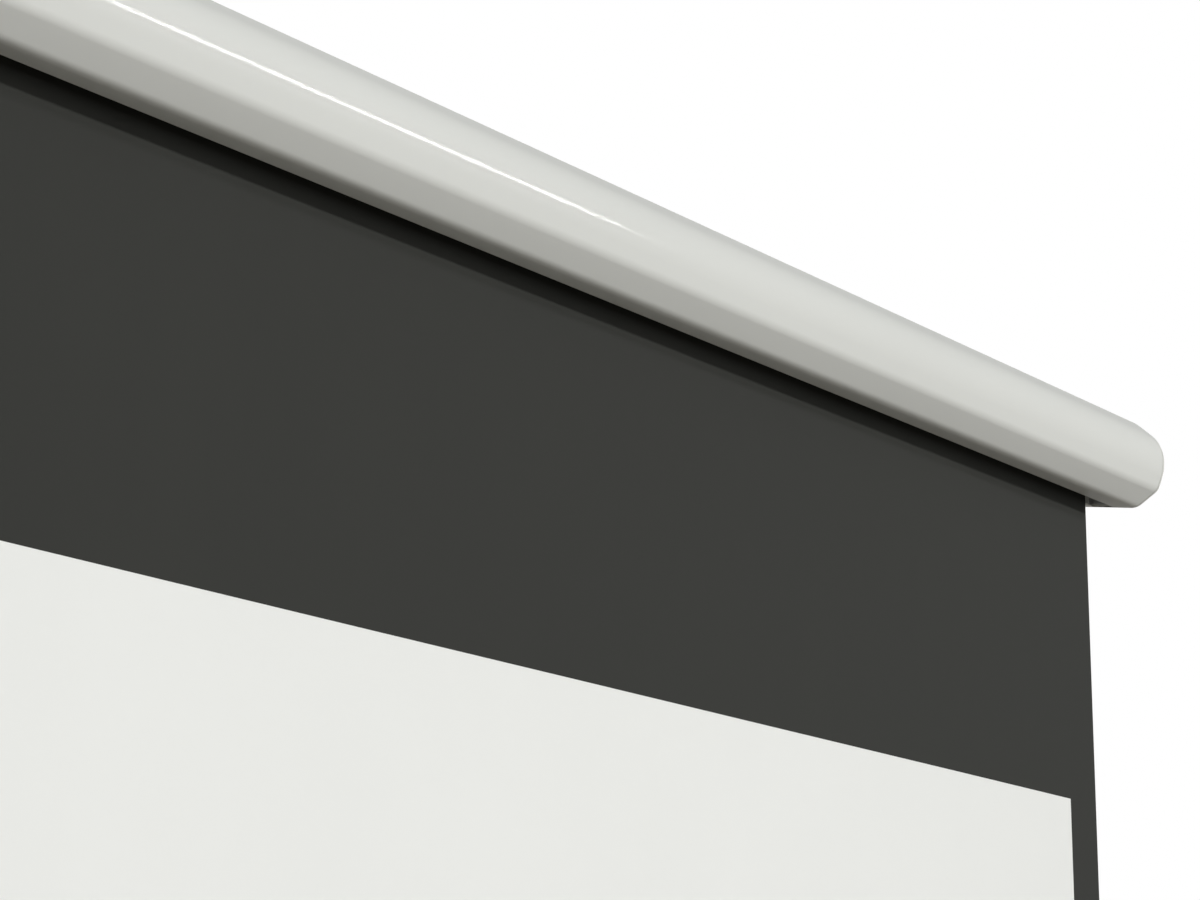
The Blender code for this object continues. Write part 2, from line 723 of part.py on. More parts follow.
def build_motor_bracket(left_plate):
    """A disc that carries the motor head, with two arms that tongue into the end plate."""
    disc = rod("motor_bracket", by_axis(DISC_LEFT), PLATE_THICKNESS, DISC_RADIUS, "zinc_steel")
    arm_end, tongue_end = PLATE_INNER + FIT, PLATE_OUTER
    for side, sign in (("top", 1), ("bottom", -1)):
        near, far = sorted((sign * ARM_OFFSET, sign * (ARM_OFFSET + PLATE_THICKNESS)))
        half, tongue = ARM_WIDTH / 2, TONGUE_WIDTH / 2
        arm = block(
            f"{side}_arm",
            by_axis(arm_end, (-half, near)),
            by_axis(DISC_RIGHT - FIT, (half, far)),
            None,
        )
        end = block(
            f"{side}_tongue",
            by_axis(tongue_end, (-tongue, near + FIT)),
            by_axis(arm_end + PLATE_THICKNESS, (tongue, far - FIT)),
            None,
        )
        join(disc, arm, end)
        slot = block(
            f"{side}_tongue_slot",
            by_axis(PLATE_OUTER - RUNNING_GAP, (-tongue - FIT, near)),
            by_axis(PLATE_INNER + RUNNING_GAP, (tongue + FIT, far)),
            None,
        )
        cut(left_plate, slot)
    for name, place, radius in (
        ("boss_hole", (0, 0), BOSS_RADIUS + FIT),
        ("peg_hole", (0, PEG_OFFSET), PEG_RADIUS + FIT),
        ("lead_hole", LEAD_PLACE, LEAD_RADIUS + 2 * FIT),
    ):
        start = by_axis(DISC_LEFT - RUNNING_GAP, place)
        cut(disc, rod(name, start, 2 * (PLATE_THICKNESS + RUNNING_GAP), radius, None))


def adjuster_places():
    """x of the up and down adjusters, and their shared y."""
    return (HEAD_LEFT + ADJUSTER_INSET, HEAD_RIGHT - ADJUSTER_INSET), FABRIC_FRONT - ADJUSTER_AHEAD


def build_motor_head():
    """The plastic head: boss and peg for the bracket, neck for the crown, spigot for the casing."""
    groove = BOSS_RADIUS - BOSS_GROOVE
    clip_left = DISC_LEFT - FIT - CLIP_THICKNESS - FIT
    boss_left = HEAD_LEFT - BOSS_LENGTH
    spigot_end = NECK_RIGHT + SPIGOT_LENGTH
    outline = [
        (boss_left, 0),
        (boss_left, BOSS_RADIUS),
        (clip_left, BOSS_RADIUS),
        (clip_left, groove),
        (DISC_LEFT, groove),
        (DISC_LEFT, BOSS_RADIUS),
        (HEAD_LEFT, BOSS_RADIUS),
        (HEAD_LEFT, HEAD_RADIUS),
        (HEAD_RIGHT, HEAD_RADIUS),
        (HEAD_RIGHT, NECK_RADIUS),
        (NECK_RIGHT, NECK_RADIUS),
        (NECK_RIGHT, INNER_RADIUS),
        (spigot_end, INNER_RADIUS),
        (spigot_end, 0),
    ]
    head = turned("motor_head", outline, by_axis(0), "black_plastic")
    peg = rod(
        "head_peg",
        by_axis(DISC_LEFT + FIT, (0, PEG_OFFSET)),
        PLATE_THICKNESS + HEAD_LENGTH / 4,
        PEG_RADIUS,
        None,
        steps=SMALL_STEPS,
    )
    join(head, peg)
    places, y = adjuster_places()
    surface = AXIS_Z - math.sqrt(HEAD_RADIUS**2 - (y - AXIS_Y) ** 2)
    for name, x in zip(("up", "down"), places):
        low = Vector((x, y, surface - ADJUSTER_PROUD))
        height = ADJUSTER_DEPTH + ADJUSTER_PROUD
        hole_low = low - Vector((0, 0, HEAD_RADIUS / 4))
        hole_height = height + HEAD_RADIUS / 4 + FIT
        cut(head, rod(f"{name}_limit_hole", hole_low, hole_height, ADJUSTER_RADIUS + FIT, None, "Z"))
        screw = rod(f"{name}_limit_screw", low, height, ADJUSTER_RADIUS, "adjuster_plastic", "Z")
        socket_low = low - Vector((0, 0, RUNNING_GAP))
        depth = ADJUSTER_SOCKET_DEPTH + RUNNING_GAP
        cut(screw, rod(f"{name}_key_socket", socket_low, depth, ADJUSTER_SOCKET, None, "Z", HEXAGON))
    turned(
        "motor_retaining_clip",
        [
            (0, BOSS_CLIP_RADIUS),
            (CLIP_THICKNESS, BOSS_CLIP_RADIUS),
            (CLIP_THICKNESS, groove + FIT),
            (0, groove + FIT),
        ],
        by_axis(clip_left + FIT),
        "dark_steel",
    )


def inner_unit(name, x, length, material, bore=0.0, bore_from=0.0):
    """One of the cartridges inside the motor casing."""
    outline = [(0, 0), (0, INNER_RADIUS), (length, INNER_RADIUS), (length, 0)]
    if bore and bore_from:
        outline[-1:] = [(length, bore), (bore_from, bore), (bore_from, 0)]
    elif bore:
        outline = [(0, INNER_RADIUS), (length, INNER_RADIUS), (length, bore), (0, bore)]
    turned(name, outline, by_axis(x), material)
    return x + length + FIT


def build_motor_core():
    """Casing with the limit unit, capacitor, brake, motor and gearbox in a row."""
    turned(
        "motor_casing",
        [(0, MOTOR_RADIUS), (MOTOR_LENGTH, MOTOR_RADIUS), (MOTOR_LENGTH, MOTOR_BORE), (0, MOTOR_BORE)],
        by_axis(CASING_LEFT),
        "zinc_steel",
    )
    x = NECK_RIGHT + SPIGOT_LENGTH + FIT
    x = inner_unit("limit_switch_unit", x, LIMIT_UNIT_LENGTH, "grey_plastic")
    x = inner_unit("motor_capacitor", x, CAPACITOR_LENGTH, "raw_aluminium")
    x = inner_unit("motor_brake", x, BRAKE_LENGTH, "dark_steel")
    rotor_start = x
    x = inner_unit("motor_stator", x, STATOR_LENGTH, "copper_winding", bore=ROTOR_RADIUS + FIT)
    rod("motor_rotor", by_axis(rotor_start), STATOR_LENGTH, ROTOR_RADIUS, "dark_steel")
    gearbox_length = CASING_RIGHT - x
    seat_start = gearbox_length - SHAFT_SEAT - FIT
    inner_unit("gearbox", x, gearbox_length, "dark_steel", bore=SHAFT_RADIUS + FIT, bore_from=seat_start)


def build_drive():
    """What the motor turns: output shaft, drive wheel with its clip, and the crown."""
    groove = SHAFT_RADIUS - BOSS_GROOVE
    wheel_left = SHAFT_REACH - CLIP_RADIUS / 2 - CLIP_THICKNESS - WHEEL_LENGTH
    clip_left = wheel_left + WHEEL_LENGTH + FIT
    shaft = turned(
        "output_shaft",
        [
            (-SHAFT_SEAT, 0),
            (-SHAFT_SEAT, SHAFT_RADIUS),
            (clip_left, SHAFT_RADIUS),
            (clip_left, groove),
            (clip_left + CLIP_THICKNESS + FIT, groove),
            (clip_left + CLIP_THICKNESS + FIT, SHAFT_RADIUS),
            (SHAFT_REACH, SHAFT_RADIUS),
            (SHAFT_REACH, 0),
        ],
        by_axis(CASING_RIGHT),
        "zinc_steel",
        steps=SMALL_STEPS,
    )
    rim, bore = TUBE_BORE - FIT, SHAFT_RADIUS + FIT
    web = (WHEEL_LENGTH - WHEEL_WEB) / 2
    rim_bore = rim - WHEEL_RIM - SEAM_KEY_RADIUS
    wheel = turned(
        "drive_wheel",
        [
            (0, rim),
            (WHEEL_LENGTH, rim),
            (WHEEL_LENGTH, rim_bore),
            (WHEEL_LENGTH - web, rim_bore),
            (WHEEL_LENGTH - web, WHEEL_HUB_RADIUS),
            (WHEEL_LENGTH, WHEEL_HUB_RADIUS),
            (WHEEL_LENGTH, bore),
            (0, bore),
            (0, WHEEL_HUB_RADIUS),
            (web, WHEEL_HUB_RADIUS),
            (web, rim_bore),
            (0, rim_bore),
        ],
        by_axis(CASING_RIGHT + wheel_left),
        "black_plastic",
    )
    key_start = CASING_RIGHT + wheel_left - RUNNING_GAP
    cut(wheel, seam_key("wheel_key", key_start, WHEEL_LENGTH + 2 * RUNNING_GAP))
    clip = turned(
        "drive_wheel_clip",
        [
            (0, CLIP_RADIUS),
            (CLIP_THICKNESS, CLIP_RADIUS),
            (CLIP_THICKNESS, groove + FIT),
            (0, groove + FIT),
        ],
        by_axis(CASING_RIGHT + clip_left + FIT / 2),
        "dark_steel",
        steps=SMALL_STEPS,
    )
    flange = ROLLER_RADIUS - FIT
    crown_bore = NECK_RADIUS + FIT
    crown = turned(
        "motor_crown",
        [
            (0, flange),
            (RIM_FLANGE, flange),
            (RIM_FLANGE, rim),
            (CROWN_LENGTH, rim),
            (CROWN_LENGTH, crown_bore),
            (0, crown_bore),
        ],
        by_axis(-TUBE_END - FIT - RIM_FLANGE),
        "grey_plastic",
    )
    cut(crown, seam_key("crown_key", -TUBE_END - FIT, CROWN_LENGTH))
    return [shaft, wheel, clip, crown]


# Roller


def roller_section():
    """The tube's outside with its seam channel, and its bore with the channel's wall."""
    mouth = math.asin(SEAM_MOUTH / 2 / ROLLER_RADIUS)
    centre = SEAM_DEPTH * Vector((math.cos(SEAM_ANGLE), math.sin(SEAM_ANGLE)))
    channel_mouth = math.asin(SEAM_MOUTH / 2 / SEAM_RADIUS)
    whole = 2 * math.pi
    outside = circle((0, 0), ROLLER_RADIUS, TUBE_STEPS, SEAM_ANGLE + mouth, whole - 2 * mouth)
    start, sweep = SEAM_ANGLE - channel_mouth, 2 * channel_mouth - whole
    outside += circle(centre, SEAM_RADIUS, TINY_STEPS, start, sweep)
    squares = TUBE_BORE**2 + SEAM_DEPTH**2 - SEAM_KEY_RADIUS**2
    spread = math.acos(squares / (2 * TUBE_BORE * SEAM_DEPTH))
    bore = circle((0, 0), TUBE_BORE, TUBE_STEPS, SEAM_ANGLE + spread, whole - 2 * spread)
    meet = bore[0] - centre
    turn = math.atan2(meet.y, meet.x) - SEAM_ANGLE
    turn = (turn + math.pi) % whole - math.pi
    bump = circle(centre, SEAM_KEY_RADIUS, TINY_STEPS, SEAM_ANGLE - turn, 2 * turn - whole)
    return [outside, bore + bump[1:-1]]


def wrap_section():
    """The fabric left on the roller: a spiral from the seam out to where the fabric hangs."""
    steps = round(WRAP_STEPS * WRAP_TURNS)
    inner, outer = [], []
    for i in range(steps + 1):
        angle = SEAM_ANGLE * (1 - i / steps)
        radius = WRAP_INNER + WRAP_PITCH * WRAP_TURNS * i / steps
        direction = Vector((math.cos(angle), math.sin(angle)))
        inner.append(direction * radius)
        outer.append(direction * (radius + FABRIC_THICKNESS))
    return inner + outer[::-1]


def build_roller():
    tube = section("roller_tube", roller_section(), -TUBE_END, TUBE_END, ON_AXIS, "raw_aluminium")
    centre = SEAM_DEPTH * Vector((math.cos(SEAM_ANGLE), math.sin(SEAM_ANGLE)))
    spline = rod(
        "roller_spline",
        by_axis(-FABRIC_EDGE, centre),
        FABRIC_WIDTH,
        SEAM_RADIUS - FIT,
        "white_plastic",
        steps=TINY_STEPS,
    )
    wrap = section("fabric_wrap", [wrap_section()], -FABRIC_EDGE, FABRIC_EDGE, ON_AXIS, "black_fabric")
    return [tube, spline, wrap]


def build_idler():
    """Plug and bush that turn with the roller, on a pin fixed in the right end plate."""
    bush_bore = IDLER_PIN_RADIUS + FIT
    bush_outer = bush_bore + IDLER_BUSH_WALL
    plug_bore = bush_outer + FIT
    flange_start = TUBE_END + FIT
    body_start = flange_start - IDLER_PLUG_LENGTH
    flange, body = ROLLER_RADIUS - FIT, TUBE_BORE - FIT
    length = IDLER_PLUG_LENGTH + RIM_FLANGE
    plug = turned(
        "idler_plug",
        [
            (0, body),
            (IDLER_PLUG_LENGTH, body),
            (IDLER_PLUG_LENGTH, flange),
            (length, flange),
            (length, plug_bore),
            (0, plug_bore),
        ],
        by_axis(body_start),
        "grey_plastic",
    )
    cut(plug, seam_key("plug_key", body_start - RUNNING_GAP, IDLER_PLUG_LENGTH + RUNNING_GAP))
    lip = length + FIT
    bush = turned(
        "idler_bush",
        [
            (0, bush_outer),
            (lip, bush_outer),
            (lip, bush_outer + IDLER_BUSH_FLANGE),
            (lip + IDLER_BUSH_FLANGE, bush_outer + IDLER_BUSH_FLANGE),
            (lip + IDLER_BUSH_FLANGE, bush_bore),
            (0, bush_bore),
        ],
        by_axis(body_start),
        "brass",
        steps=SMALL_STEPS,
    )
    turned(
        "idler_pin",
        [
            (body_start, 0),
            (body_start, IDLER_PIN_RADIUS),
            (CASE_RIGHT - IDLER_PIN_FLANGE, IDLER_PIN_RADIUS),
            (CASE_RIGHT - IDLER_PIN_FLANGE, IDLER_PIN_FLANGE_RADIUS),
            (CASE_RIGHT, IDLER_PIN_FLANGE_RADIUS),
            (CASE_RIGHT, IDLER_PIN_RADIUS),
            (CASE_RIGHT + FIT + PLATE_THICKNESS, IDLER_PIN_RADIUS),
            (CASE_RIGHT + FIT + PLATE_THICKNESS, 0),
        ],
        by_axis(0),
        "zinc_steel",
        steps=SMALL_STEPS,
    )
    return [plug, bush]


# Fabric and weight bar


def build_fabric():
    hem_top = BAR_TOP - HEM_DEPTH + HEM_RADIUS + FIT
    block(
        "screen_fabric",
        (-FABRIC_EDGE, FABRIC_FRONT, hem_top),
        (FABRIC_EDGE, FABRIC_REAR, AXIS_Z - FIT),
        "black_fabric",
    )
    surface_rear = FABRIC_FRONT - FIT
    block(
        "viewing_surface",
        (-PICTURE_WIDTH / 2, surface_rear - COATING_THICKNESS, PICTURE_BOTTOM),
        (PICTURE_WIDTH / 2, surface_rear, PICTURE_TOP),
        "white_screen",
    )


def bar_corners():
    half = BAR_DEPTH / 2
    return [
        (half, BAR_HEIGHT, BAR_RADIUS),
        (-half, BAR_HEIGHT, BAR_RADIUS),
        (-half, 0, BAR_RADIUS),
        (half, 0, BAR_RADIUS),
    ]


def bar_section():
    """A rounded bar, open at its top through a slot to the round hem channel."""
    channel = HEM_RADIUS + FIT
    hem = (0, BAR_HEIGHT - HEM_DEPTH)
    mouth = math.asin(BAR_SLOT / 2 / channel)
    outline = rounded(bar_corners())
    first = len(outline) // 4
    slot = [Vector((side * BAR_SLOT / 2, BAR_HEIGHT)) for side in (1, -1)]
    around = circle(hem, channel, SMALL_STEPS, math.pi / 2 - mouth, 2 * mouth - 2 * math.pi)
    hole = circle((0, ROD_FROM_BOTTOM), ROD_RADIUS + FIT, SMALL_STEPS)
    return [outline[:first] + [slot[0], *around, slot[1]] + outline[first:], hole]


def build_weight_bar():
    place = (FABRIC_MIDDLE, BAR_BOTTOM)
    bar_end = FABRIC_EDGE + BAR_OVERHANG
    peg_end = bar_end - BAR_CAP_PEG
    bar = section("weight_bar", bar_section(), -bar_end, bar_end, place, "white_paint")
    rod_middle = (FABRIC_MIDDLE, BAR_BOTTOM + ROD_FROM_BOTTOM)
    rod_reach = peg_end - FIT
    weight = rod(
        "weight_rod",
        (-rod_reach, *rod_middle),
        2 * rod_reach,
        ROD_RADIUS,
        "dark_steel",
        steps=SMALL_STEPS,
    )
    hem = rod(
        "hem_spline",
        (-FABRIC_EDGE, FABRIC_MIDDLE, BAR_TOP - HEM_DEPTH),
        FABRIC_WIDTH,
        HEM_RADIUS,
        "white_plastic",
        steps=SMALL_STEPS,
    )
    caps = []
    for side, outward in (("left", -1), ("right", 1)):
        near = outward * (bar_end + FIT)
        far = outward * (bar_end + FIT + BAR_CAP_THICKNESS)
        outlines = [rounded(bar_corners())]
        ends = sorted((near, far))
        cap = as_mesh(section(f"{side}_bar_cap", outlines, *ends, place, "white_plastic"))
        peg_ends = sorted((outward * peg_end, (near + far) / 2))
        peg = rod(
            f"{side}_bar_peg",
            (peg_ends[0], *rod_middle),
            peg_ends[1] - peg_ends[0],
            ROD_RADIUS,
            None,
            steps=SMALL_STEPS,
        )
        caps.append(join(cap, peg))
    return [bar, weight, hem, *caps]


# Controls in the left end


def build_board():
    """The control board on two posts of the end plate, with a switch under the button."""
    low = by_axis(BOARD_LEFT, (-BOARD_FRONT, -BOARD_BOTTOM))
    high = by_axis(BOARD_RIGHT, (BOARD_REAR, BOARD_TOP))
    board = block("control_board", low, high, "circuit_board")
    half = SWITCH_SIDE / 2
    y, z = BUTTON_PLACE
    switch = block(
        "button_switch",
        by_axis(BOARD_LEFT - SWITCH_HEIGHT, (y - half, z - half)),
        by_axis(BOARD_LEFT + BOARD_THICKNESS / 2, (y + half, z + half)),
        None,
    )
    join(board, switch)
    x = BOARD_RIGHT + FIT
    top = BOARD_TOP - FIT
    for name, front in (("up_relay", -BOARD_FRONT + FIT), ("down_relay", -BOARD_FRONT / 2 + 2 * FIT)):
        low = by_axis(x, (front, top - RELAY_SIZE[2]))
        soften(block(name, low, low + Vector(RELAY_SIZE), "relay_blue"))
    low = by_axis(x, (BOARD_REAR - TRANSFORMER_SIZE[1] - FIT, top - TRANSFORMER_SIZE[2]))
    soften(block("transformer", low, low + Vector(TRANSFORMER_SIZE), "dark_steel"))
    low = by_axis(x, (0, -BOARD_BOTTOM))
    block("terminal_block", low, low + Vector(TERMINAL_SIZE), "grey_plastic")
    posts = [(-BOARD_FRONT + POST_FROM_EDGE, -BOARD_BOTTOM + POST_FROM_EDGE)]
    posts.append((BOARD_REAR - POST_FROM_EDGE, BOARD_TOP - POST_FROM_EDGE))
    return [
        rod(
            f"board_post_{i}",
            by_axis(PLATE_OUTER + PLATE_THICKNESS / 2, place),
            PLATE_THICKNESS / 2 + BOARD_STANDOFF - FIT,
            POST_RADIUS,
            None,
            steps=SMALL_STEPS,
        )
        for i, place in enumerate(posts, 1)
    ]


def box_through(name, place, width, height, x_from, x_to):
    """A rectangular cutter round a place (y, z), between two x."""
    y, z = place
    low = by_axis(x_from, (y - width / 2, z - height / 2))
    high = by_axis(x_to, (y + width / 2, z + height / 2))
    return block(name, low, high, None)


def build_socket():
    """A modular socket on the board, whose mouth is just inside the cap's face."""
    y, z = SOCKET_PLACE
    mouth = CAP_FACE + SOCKET_RECESS
    half_width, half_height = SOCKET_WIDTH / 2, SOCKET_HEIGHT / 2
    socket = block(
        "control_socket",
        by_axis(mouth, (y - half_width, z - half_height)),
        by_axis(BOARD_LEFT - FIT, (y + half_width, z + half_height)),
        "black_plastic",
    )
    start, end = mouth - RUNNING_GAP, mouth + CAVITY_DEPTH
    notch_place = (y, z - (CAVITY_HEIGHT + NOTCH_HEIGHT) / 2)
    return cut(
        socket,
        box_through("socket_cavity", SOCKET_PLACE, CAVITY_WIDTH, CAVITY_HEIGHT, start, end),
        box_through("socket_notch", notch_place, NOTCH_WIDTH, NOTCH_HEIGHT + FIT, start, end),
    )


def build_button():
    head_length = CAP_THICKNESS + BUTTON_PROUD
    stem_end = BOARD_LEFT - SWITCH_HEIGHT - BUTTON_TRAVEL - FIT
    start = CAP_FACE - BUTTON_PROUD
    reach = stem_end - start
    crown = BUTTON_RADIUS / 8
    return turned(
        "push_button",
        [
            (0, 0),
            (0, BUTTON_RADIUS - crown),
            (crown, BUTTON_RADIUS),
            (head_length, BUTTON_RADIUS),
            (head_length, BUTTON_STEM_RADIUS),
            (reach, BUTTON_STEM_RADIUS),
            (reach, 0),
        ],
        by_axis(start, BUTTON_PLACE),
        "grey_plastic",
        steps=SMALL_STEPS,
    )


def build_gland():
    """A rubber bush through cap and plate, with a lip on each side."""
    lip = GLAND_RADIUS + GLAND_LIP
    outside, inside = CAP_FACE - FIT, PLATE_INNER + FIT
    return turned(
        "cable_gland",
        [
            (outside - GLAND_LIP_THICKNESS, lip),
            (outside, lip),
            (outside, GLAND_RADIUS),
            (inside, GLAND_RADIUS),
            (inside, lip),
            (inside + GLAND_LIP_THICKNESS, lip),
            (inside + GLAND_LIP_THICKNESS, GLAND_BORE),
            (outside - GLAND_LIP_THICKNESS, GLAND_BORE),
        ],
        by_axis(0, GLAND_PLACE),
        "rubber",
        steps=SMALL_STEPS,
    )


def build_lead():
    """The lead from the motor head, through the bracket, up to the terminal block."""
    start = by_axis(HEAD_LEFT - FIT, LEAD_PLACE)
    terminal_x = BOARD_RIGHT + FIT + TERMINAL_SIZE[0] / 2
    end = by_axis(terminal_x, (TERMINAL_SIZE[1] / 3, -BOARD_BOTTOM - FIT))
    span = start.x - end.x
    leaves = start - Vector((LEAD_PULL * span, 0, 0))
    arrives = end - Vector((0, 0, LEAD_SAG))
    path = interpolate_bezier(start, leaves, arrives, end, LEAD_STEPS)
    curve = bpy.data.curves.new("motor_lead", "CURVE")
    curve.dimensions = "3D"
    curve.bevel_depth = LEAD_RADIUS
    curve.bevel_resolution = 2
    curve.use_fill_caps = True
    spline = curve.splines.new("POLY")
    spline.points.add(len(path) - 1)
    for point, place in zip(spline.points, path):
        point.co = (*place, 1)
    added("motor_lead", curve, Matrix.Identity(4), "rubber")


def build_controls(left_cap, left_plate):
    posts = build_board()
    build_socket()
    button = build_button()
    build_gland()
    build_lead()
    turned(
        "receiver_window",
        [
            (0, 0),
            (0, WINDOW_RADIUS),
            (WINDOW_THICKNESS, WINDOW_RADIUS),
            (WINDOW_THICKNESS, 0),
        ],
        by_axis(CAP_FACE + FIT, WINDOW_PLACE),
        "dark_lens",
        steps=SMALL_STEPS,
    )
    start, end = CAP_FACE - RUNNING_GAP, PLATE_INNER + RUNNING_GAP
    socket_size = SOCKET_WIDTH + 2 * FIT, SOCKET_HEIGHT + 2 * FIT
    openings = [box_through("socket_window", SOCKET_PLACE, *socket_size, start, end)]
    for name, place, radius in (
        ("button_hole", BUTTON_PLACE, BUTTON_RADIUS + FIT),
        ("gland_hole", GLAND_PLACE, GLAND_RADIUS + FIT),
        ("receiver_hole", WINDOW_PLACE, WINDOW_RADIUS - RUNNING_GAP),
    ):
        openings.append(rod(name, by_axis(start, place), end - start, radius, None))
    seat_depth = RUNNING_GAP + WINDOW_THICKNESS + 2 * FIT
    seat = rod("window_seat", by_axis(start, WINDOW_PLACE), seat_depth, WINDOW_RADIUS + FIT, None)
    cut(left_cap, *openings, seat)
    cut(join(left_plate, *posts), *openings)
    return button


# Brackets


def bracket_outline():
    """Hook in the groove, top plate, wall plate and the lip under the case, as (u, w)."""
    t = BRACKET_THICKNESS
    rear, top = CASE_DEPTH + FIT + t, CASE_HEIGHT + FIT + t
    hook = CASE_DEPTH - GROOVE_FROM_REAR - t / 2
    tip = CASE_HEIGHT - GROOVE_DEPTH + FIT
    lip_end = rear - BRACKET_LIP
    return rounded(
        [
            (rear, top, t),
            (hook, top, t),
            (hook, tip, 0),
            (hook + t, tip, 0),
            (hook + t, top - t, 0),
            (rear - t, top - t, 0),
            (rear - t, t, 0),
            (lip_end, t, 0),
            (lip_end, 0, 0),
            (rear, 0, t),
        ]
    )


def build_bracket(side, middle):
    half = BRACKET_WIDTH / 2
    outlines, ends = [bracket_outline()], (middle - half, middle + half)
    bracket = as_mesh(section(f"{side}_bracket", outlines, *ends, ON_CASE, "white_paint"))
    clamp_u = CASE_DEPTH - CLAMP_FROM_REAR
    clamp_y = ON_CASE[0] + clamp_u
    t = BRACKET_THICKNESS
    for number, shift in enumerate((-BRACKET_HOLE_SPACING / 2, BRACKET_HOLE_SPACING / 2), 1):
        x = middle + shift
        wall_start = (x, REAR_FACE - RUNNING_GAP, CASE_BOTTOM + BRACKET_WALL_HOLE_W)
        top_start = (x, -BRACKET_TOP_HOLE_FROM_REAR, TOP_FACE - RUNNING_GAP)
        for face, start, along in (("wall", wall_start, "Y"), ("top", top_start, "Z")):
            name = f"{side}_{face}_hole_{number}"
            cut(bracket, rod(name, start, 2 * t, BRACKET_HOLE_RADIUS, None, along))
    start = (middle, clamp_y, CASE_BOTTOM - RUNNING_GAP)
    cut(bracket, rod(f"{side}_clamp_hole", start, 2 * t, CLAMP_RADIUS + FIT, None, "Z"))
    nut_bottom = CASE_BOTTOM + t + FIT
    nut = turned(
        f"{side}_clamp_nut",
        [
            (0, CLAMP_NUT_RADIUS),
            (CLAMP_NUT_HEIGHT, CLAMP_NUT_RADIUS),
            (CLAMP_NUT_HEIGHT, CLAMP_RADIUS + FIT),
            (0, CLAMP_RADIUS + FIT),
        ],
        (middle, clamp_y, nut_bottom),
        "zinc_steel",
        "Z",
        HEXAGON,
    )
    tip = CASE_BOTTOM + underside(clamp_u - CLAMP_RADIUS) - FIT
    head_bottom = CASE_BOTTOM - FIT - CLAMP_HEAD_HEIGHT
    screw = turned(
        f"{side}_clamp_screw",
        [
            (SCREW_RECESS_RADIUS, 0),
            (0, SCREW_RECESS_RADIUS),
            (0, CLAMP_HEAD_RADIUS),
            (CLAMP_HEAD_HEIGHT, CLAMP_HEAD_RADIUS),
            (CLAMP_HEAD_HEIGHT, CLAMP_RADIUS),
            (tip - head_bottom, CLAMP_RADIUS),
            (tip - head_bottom, 0),
        ],
        (middle, clamp_y, head_bottom),
        "zinc_steel",
        "Z",
        SMALL_STEPS,
    )
    carried(f"{side}_bracket_slide", (middle, 0, 0), [bracket, nut, screw])


def main():
    clear_scene()
    build_case()
    left_cap, left_plate = build_ends()
    build_motor_bracket(left_plate)
    build_motor_head()
    build_motor_core()
    turning = build_drive() + build_roller() + build_idler()
    carried("roller_axis", by_axis(0), turning)
    build_fabric()
    carried("weight_bar_slide", (0, FABRIC_MIDDLE, BAR_TOP), build_weight_bar())
    button = build_controls(left_cap, left_plate)
    carried("button_slide", by_axis(CAP_FACE, BUTTON_PLACE), [button])
    for side, sign in (("left", -1), ("right", 1)):
        build_bracket(side, sign * (FABRIC_EDGE - BRACKET_INSET))


main()
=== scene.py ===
"""Looks of a motorized projector screen: a painted case, its end caps, a black-bordered white
fabric and a weight bar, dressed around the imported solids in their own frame.

Metres. X runs along the case, Y into the wall and Z up. The case's section is given in
(u, w): u from its nose towards the wall and w up from its chin, taken before it is rounded.
"""

import json
import math

import bmesh
import bpy
from mathutils import Matrix, Vector


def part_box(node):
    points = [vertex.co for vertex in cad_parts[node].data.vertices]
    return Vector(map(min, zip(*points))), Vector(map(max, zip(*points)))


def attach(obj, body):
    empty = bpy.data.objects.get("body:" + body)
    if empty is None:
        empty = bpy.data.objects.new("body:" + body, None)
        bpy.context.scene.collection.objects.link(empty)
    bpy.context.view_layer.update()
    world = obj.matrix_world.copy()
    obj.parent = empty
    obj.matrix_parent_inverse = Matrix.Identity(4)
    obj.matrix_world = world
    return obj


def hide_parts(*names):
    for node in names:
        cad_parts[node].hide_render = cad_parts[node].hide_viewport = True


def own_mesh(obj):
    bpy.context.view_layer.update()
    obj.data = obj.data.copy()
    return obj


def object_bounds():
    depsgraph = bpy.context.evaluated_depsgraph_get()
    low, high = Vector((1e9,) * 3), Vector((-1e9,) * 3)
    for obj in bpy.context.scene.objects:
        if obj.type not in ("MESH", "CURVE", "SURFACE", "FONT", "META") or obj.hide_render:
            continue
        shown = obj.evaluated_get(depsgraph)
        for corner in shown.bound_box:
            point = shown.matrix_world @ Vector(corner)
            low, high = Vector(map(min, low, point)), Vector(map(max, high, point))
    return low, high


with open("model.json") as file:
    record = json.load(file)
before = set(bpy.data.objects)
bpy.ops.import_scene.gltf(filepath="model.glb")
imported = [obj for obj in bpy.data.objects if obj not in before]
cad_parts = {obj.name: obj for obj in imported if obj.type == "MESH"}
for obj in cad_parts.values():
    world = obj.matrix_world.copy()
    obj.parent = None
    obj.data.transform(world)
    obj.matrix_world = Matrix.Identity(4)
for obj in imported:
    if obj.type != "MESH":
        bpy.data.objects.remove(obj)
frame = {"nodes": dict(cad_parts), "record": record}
cad_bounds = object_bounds()

# Places of the solids
CASE_LOW, CASE_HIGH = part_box("case_extrusion")
FABRIC_LOW, FABRIC_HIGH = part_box("screen_fabric")
PICTURE_LOW, PICTURE_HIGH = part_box("viewing_surface")
BAR_LOW, BAR_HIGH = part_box("weight_bar")

# Fineness
ARC_STEP = math.radians(3)
BEND_STEP = math.radians(9)  # in the brackets' bends
LEAST_ARC_STEPS = 3
SHARP_ANGLE = math.radians(28)
ROUND_STEPS = 48
CHANNEL_STEPS = 36
HOLE_STEPS = 32
PORT_STEPS = 20
DOME_STEPS = 9
EDGE_STEPS = 4
LEAST_FILLET = 0.2  # share of a fillet that stays when its outline is drawn in
WELD = 1e-6  # points nearer than this are joined
SLIVER = 1e-7  # edges shorter than this are taken out

# Clearances
FIT = 0.0003  # gap that keeps neighbouring pieces apart
BEYOND = 4 * FIT  # how far a cutter runs past a face

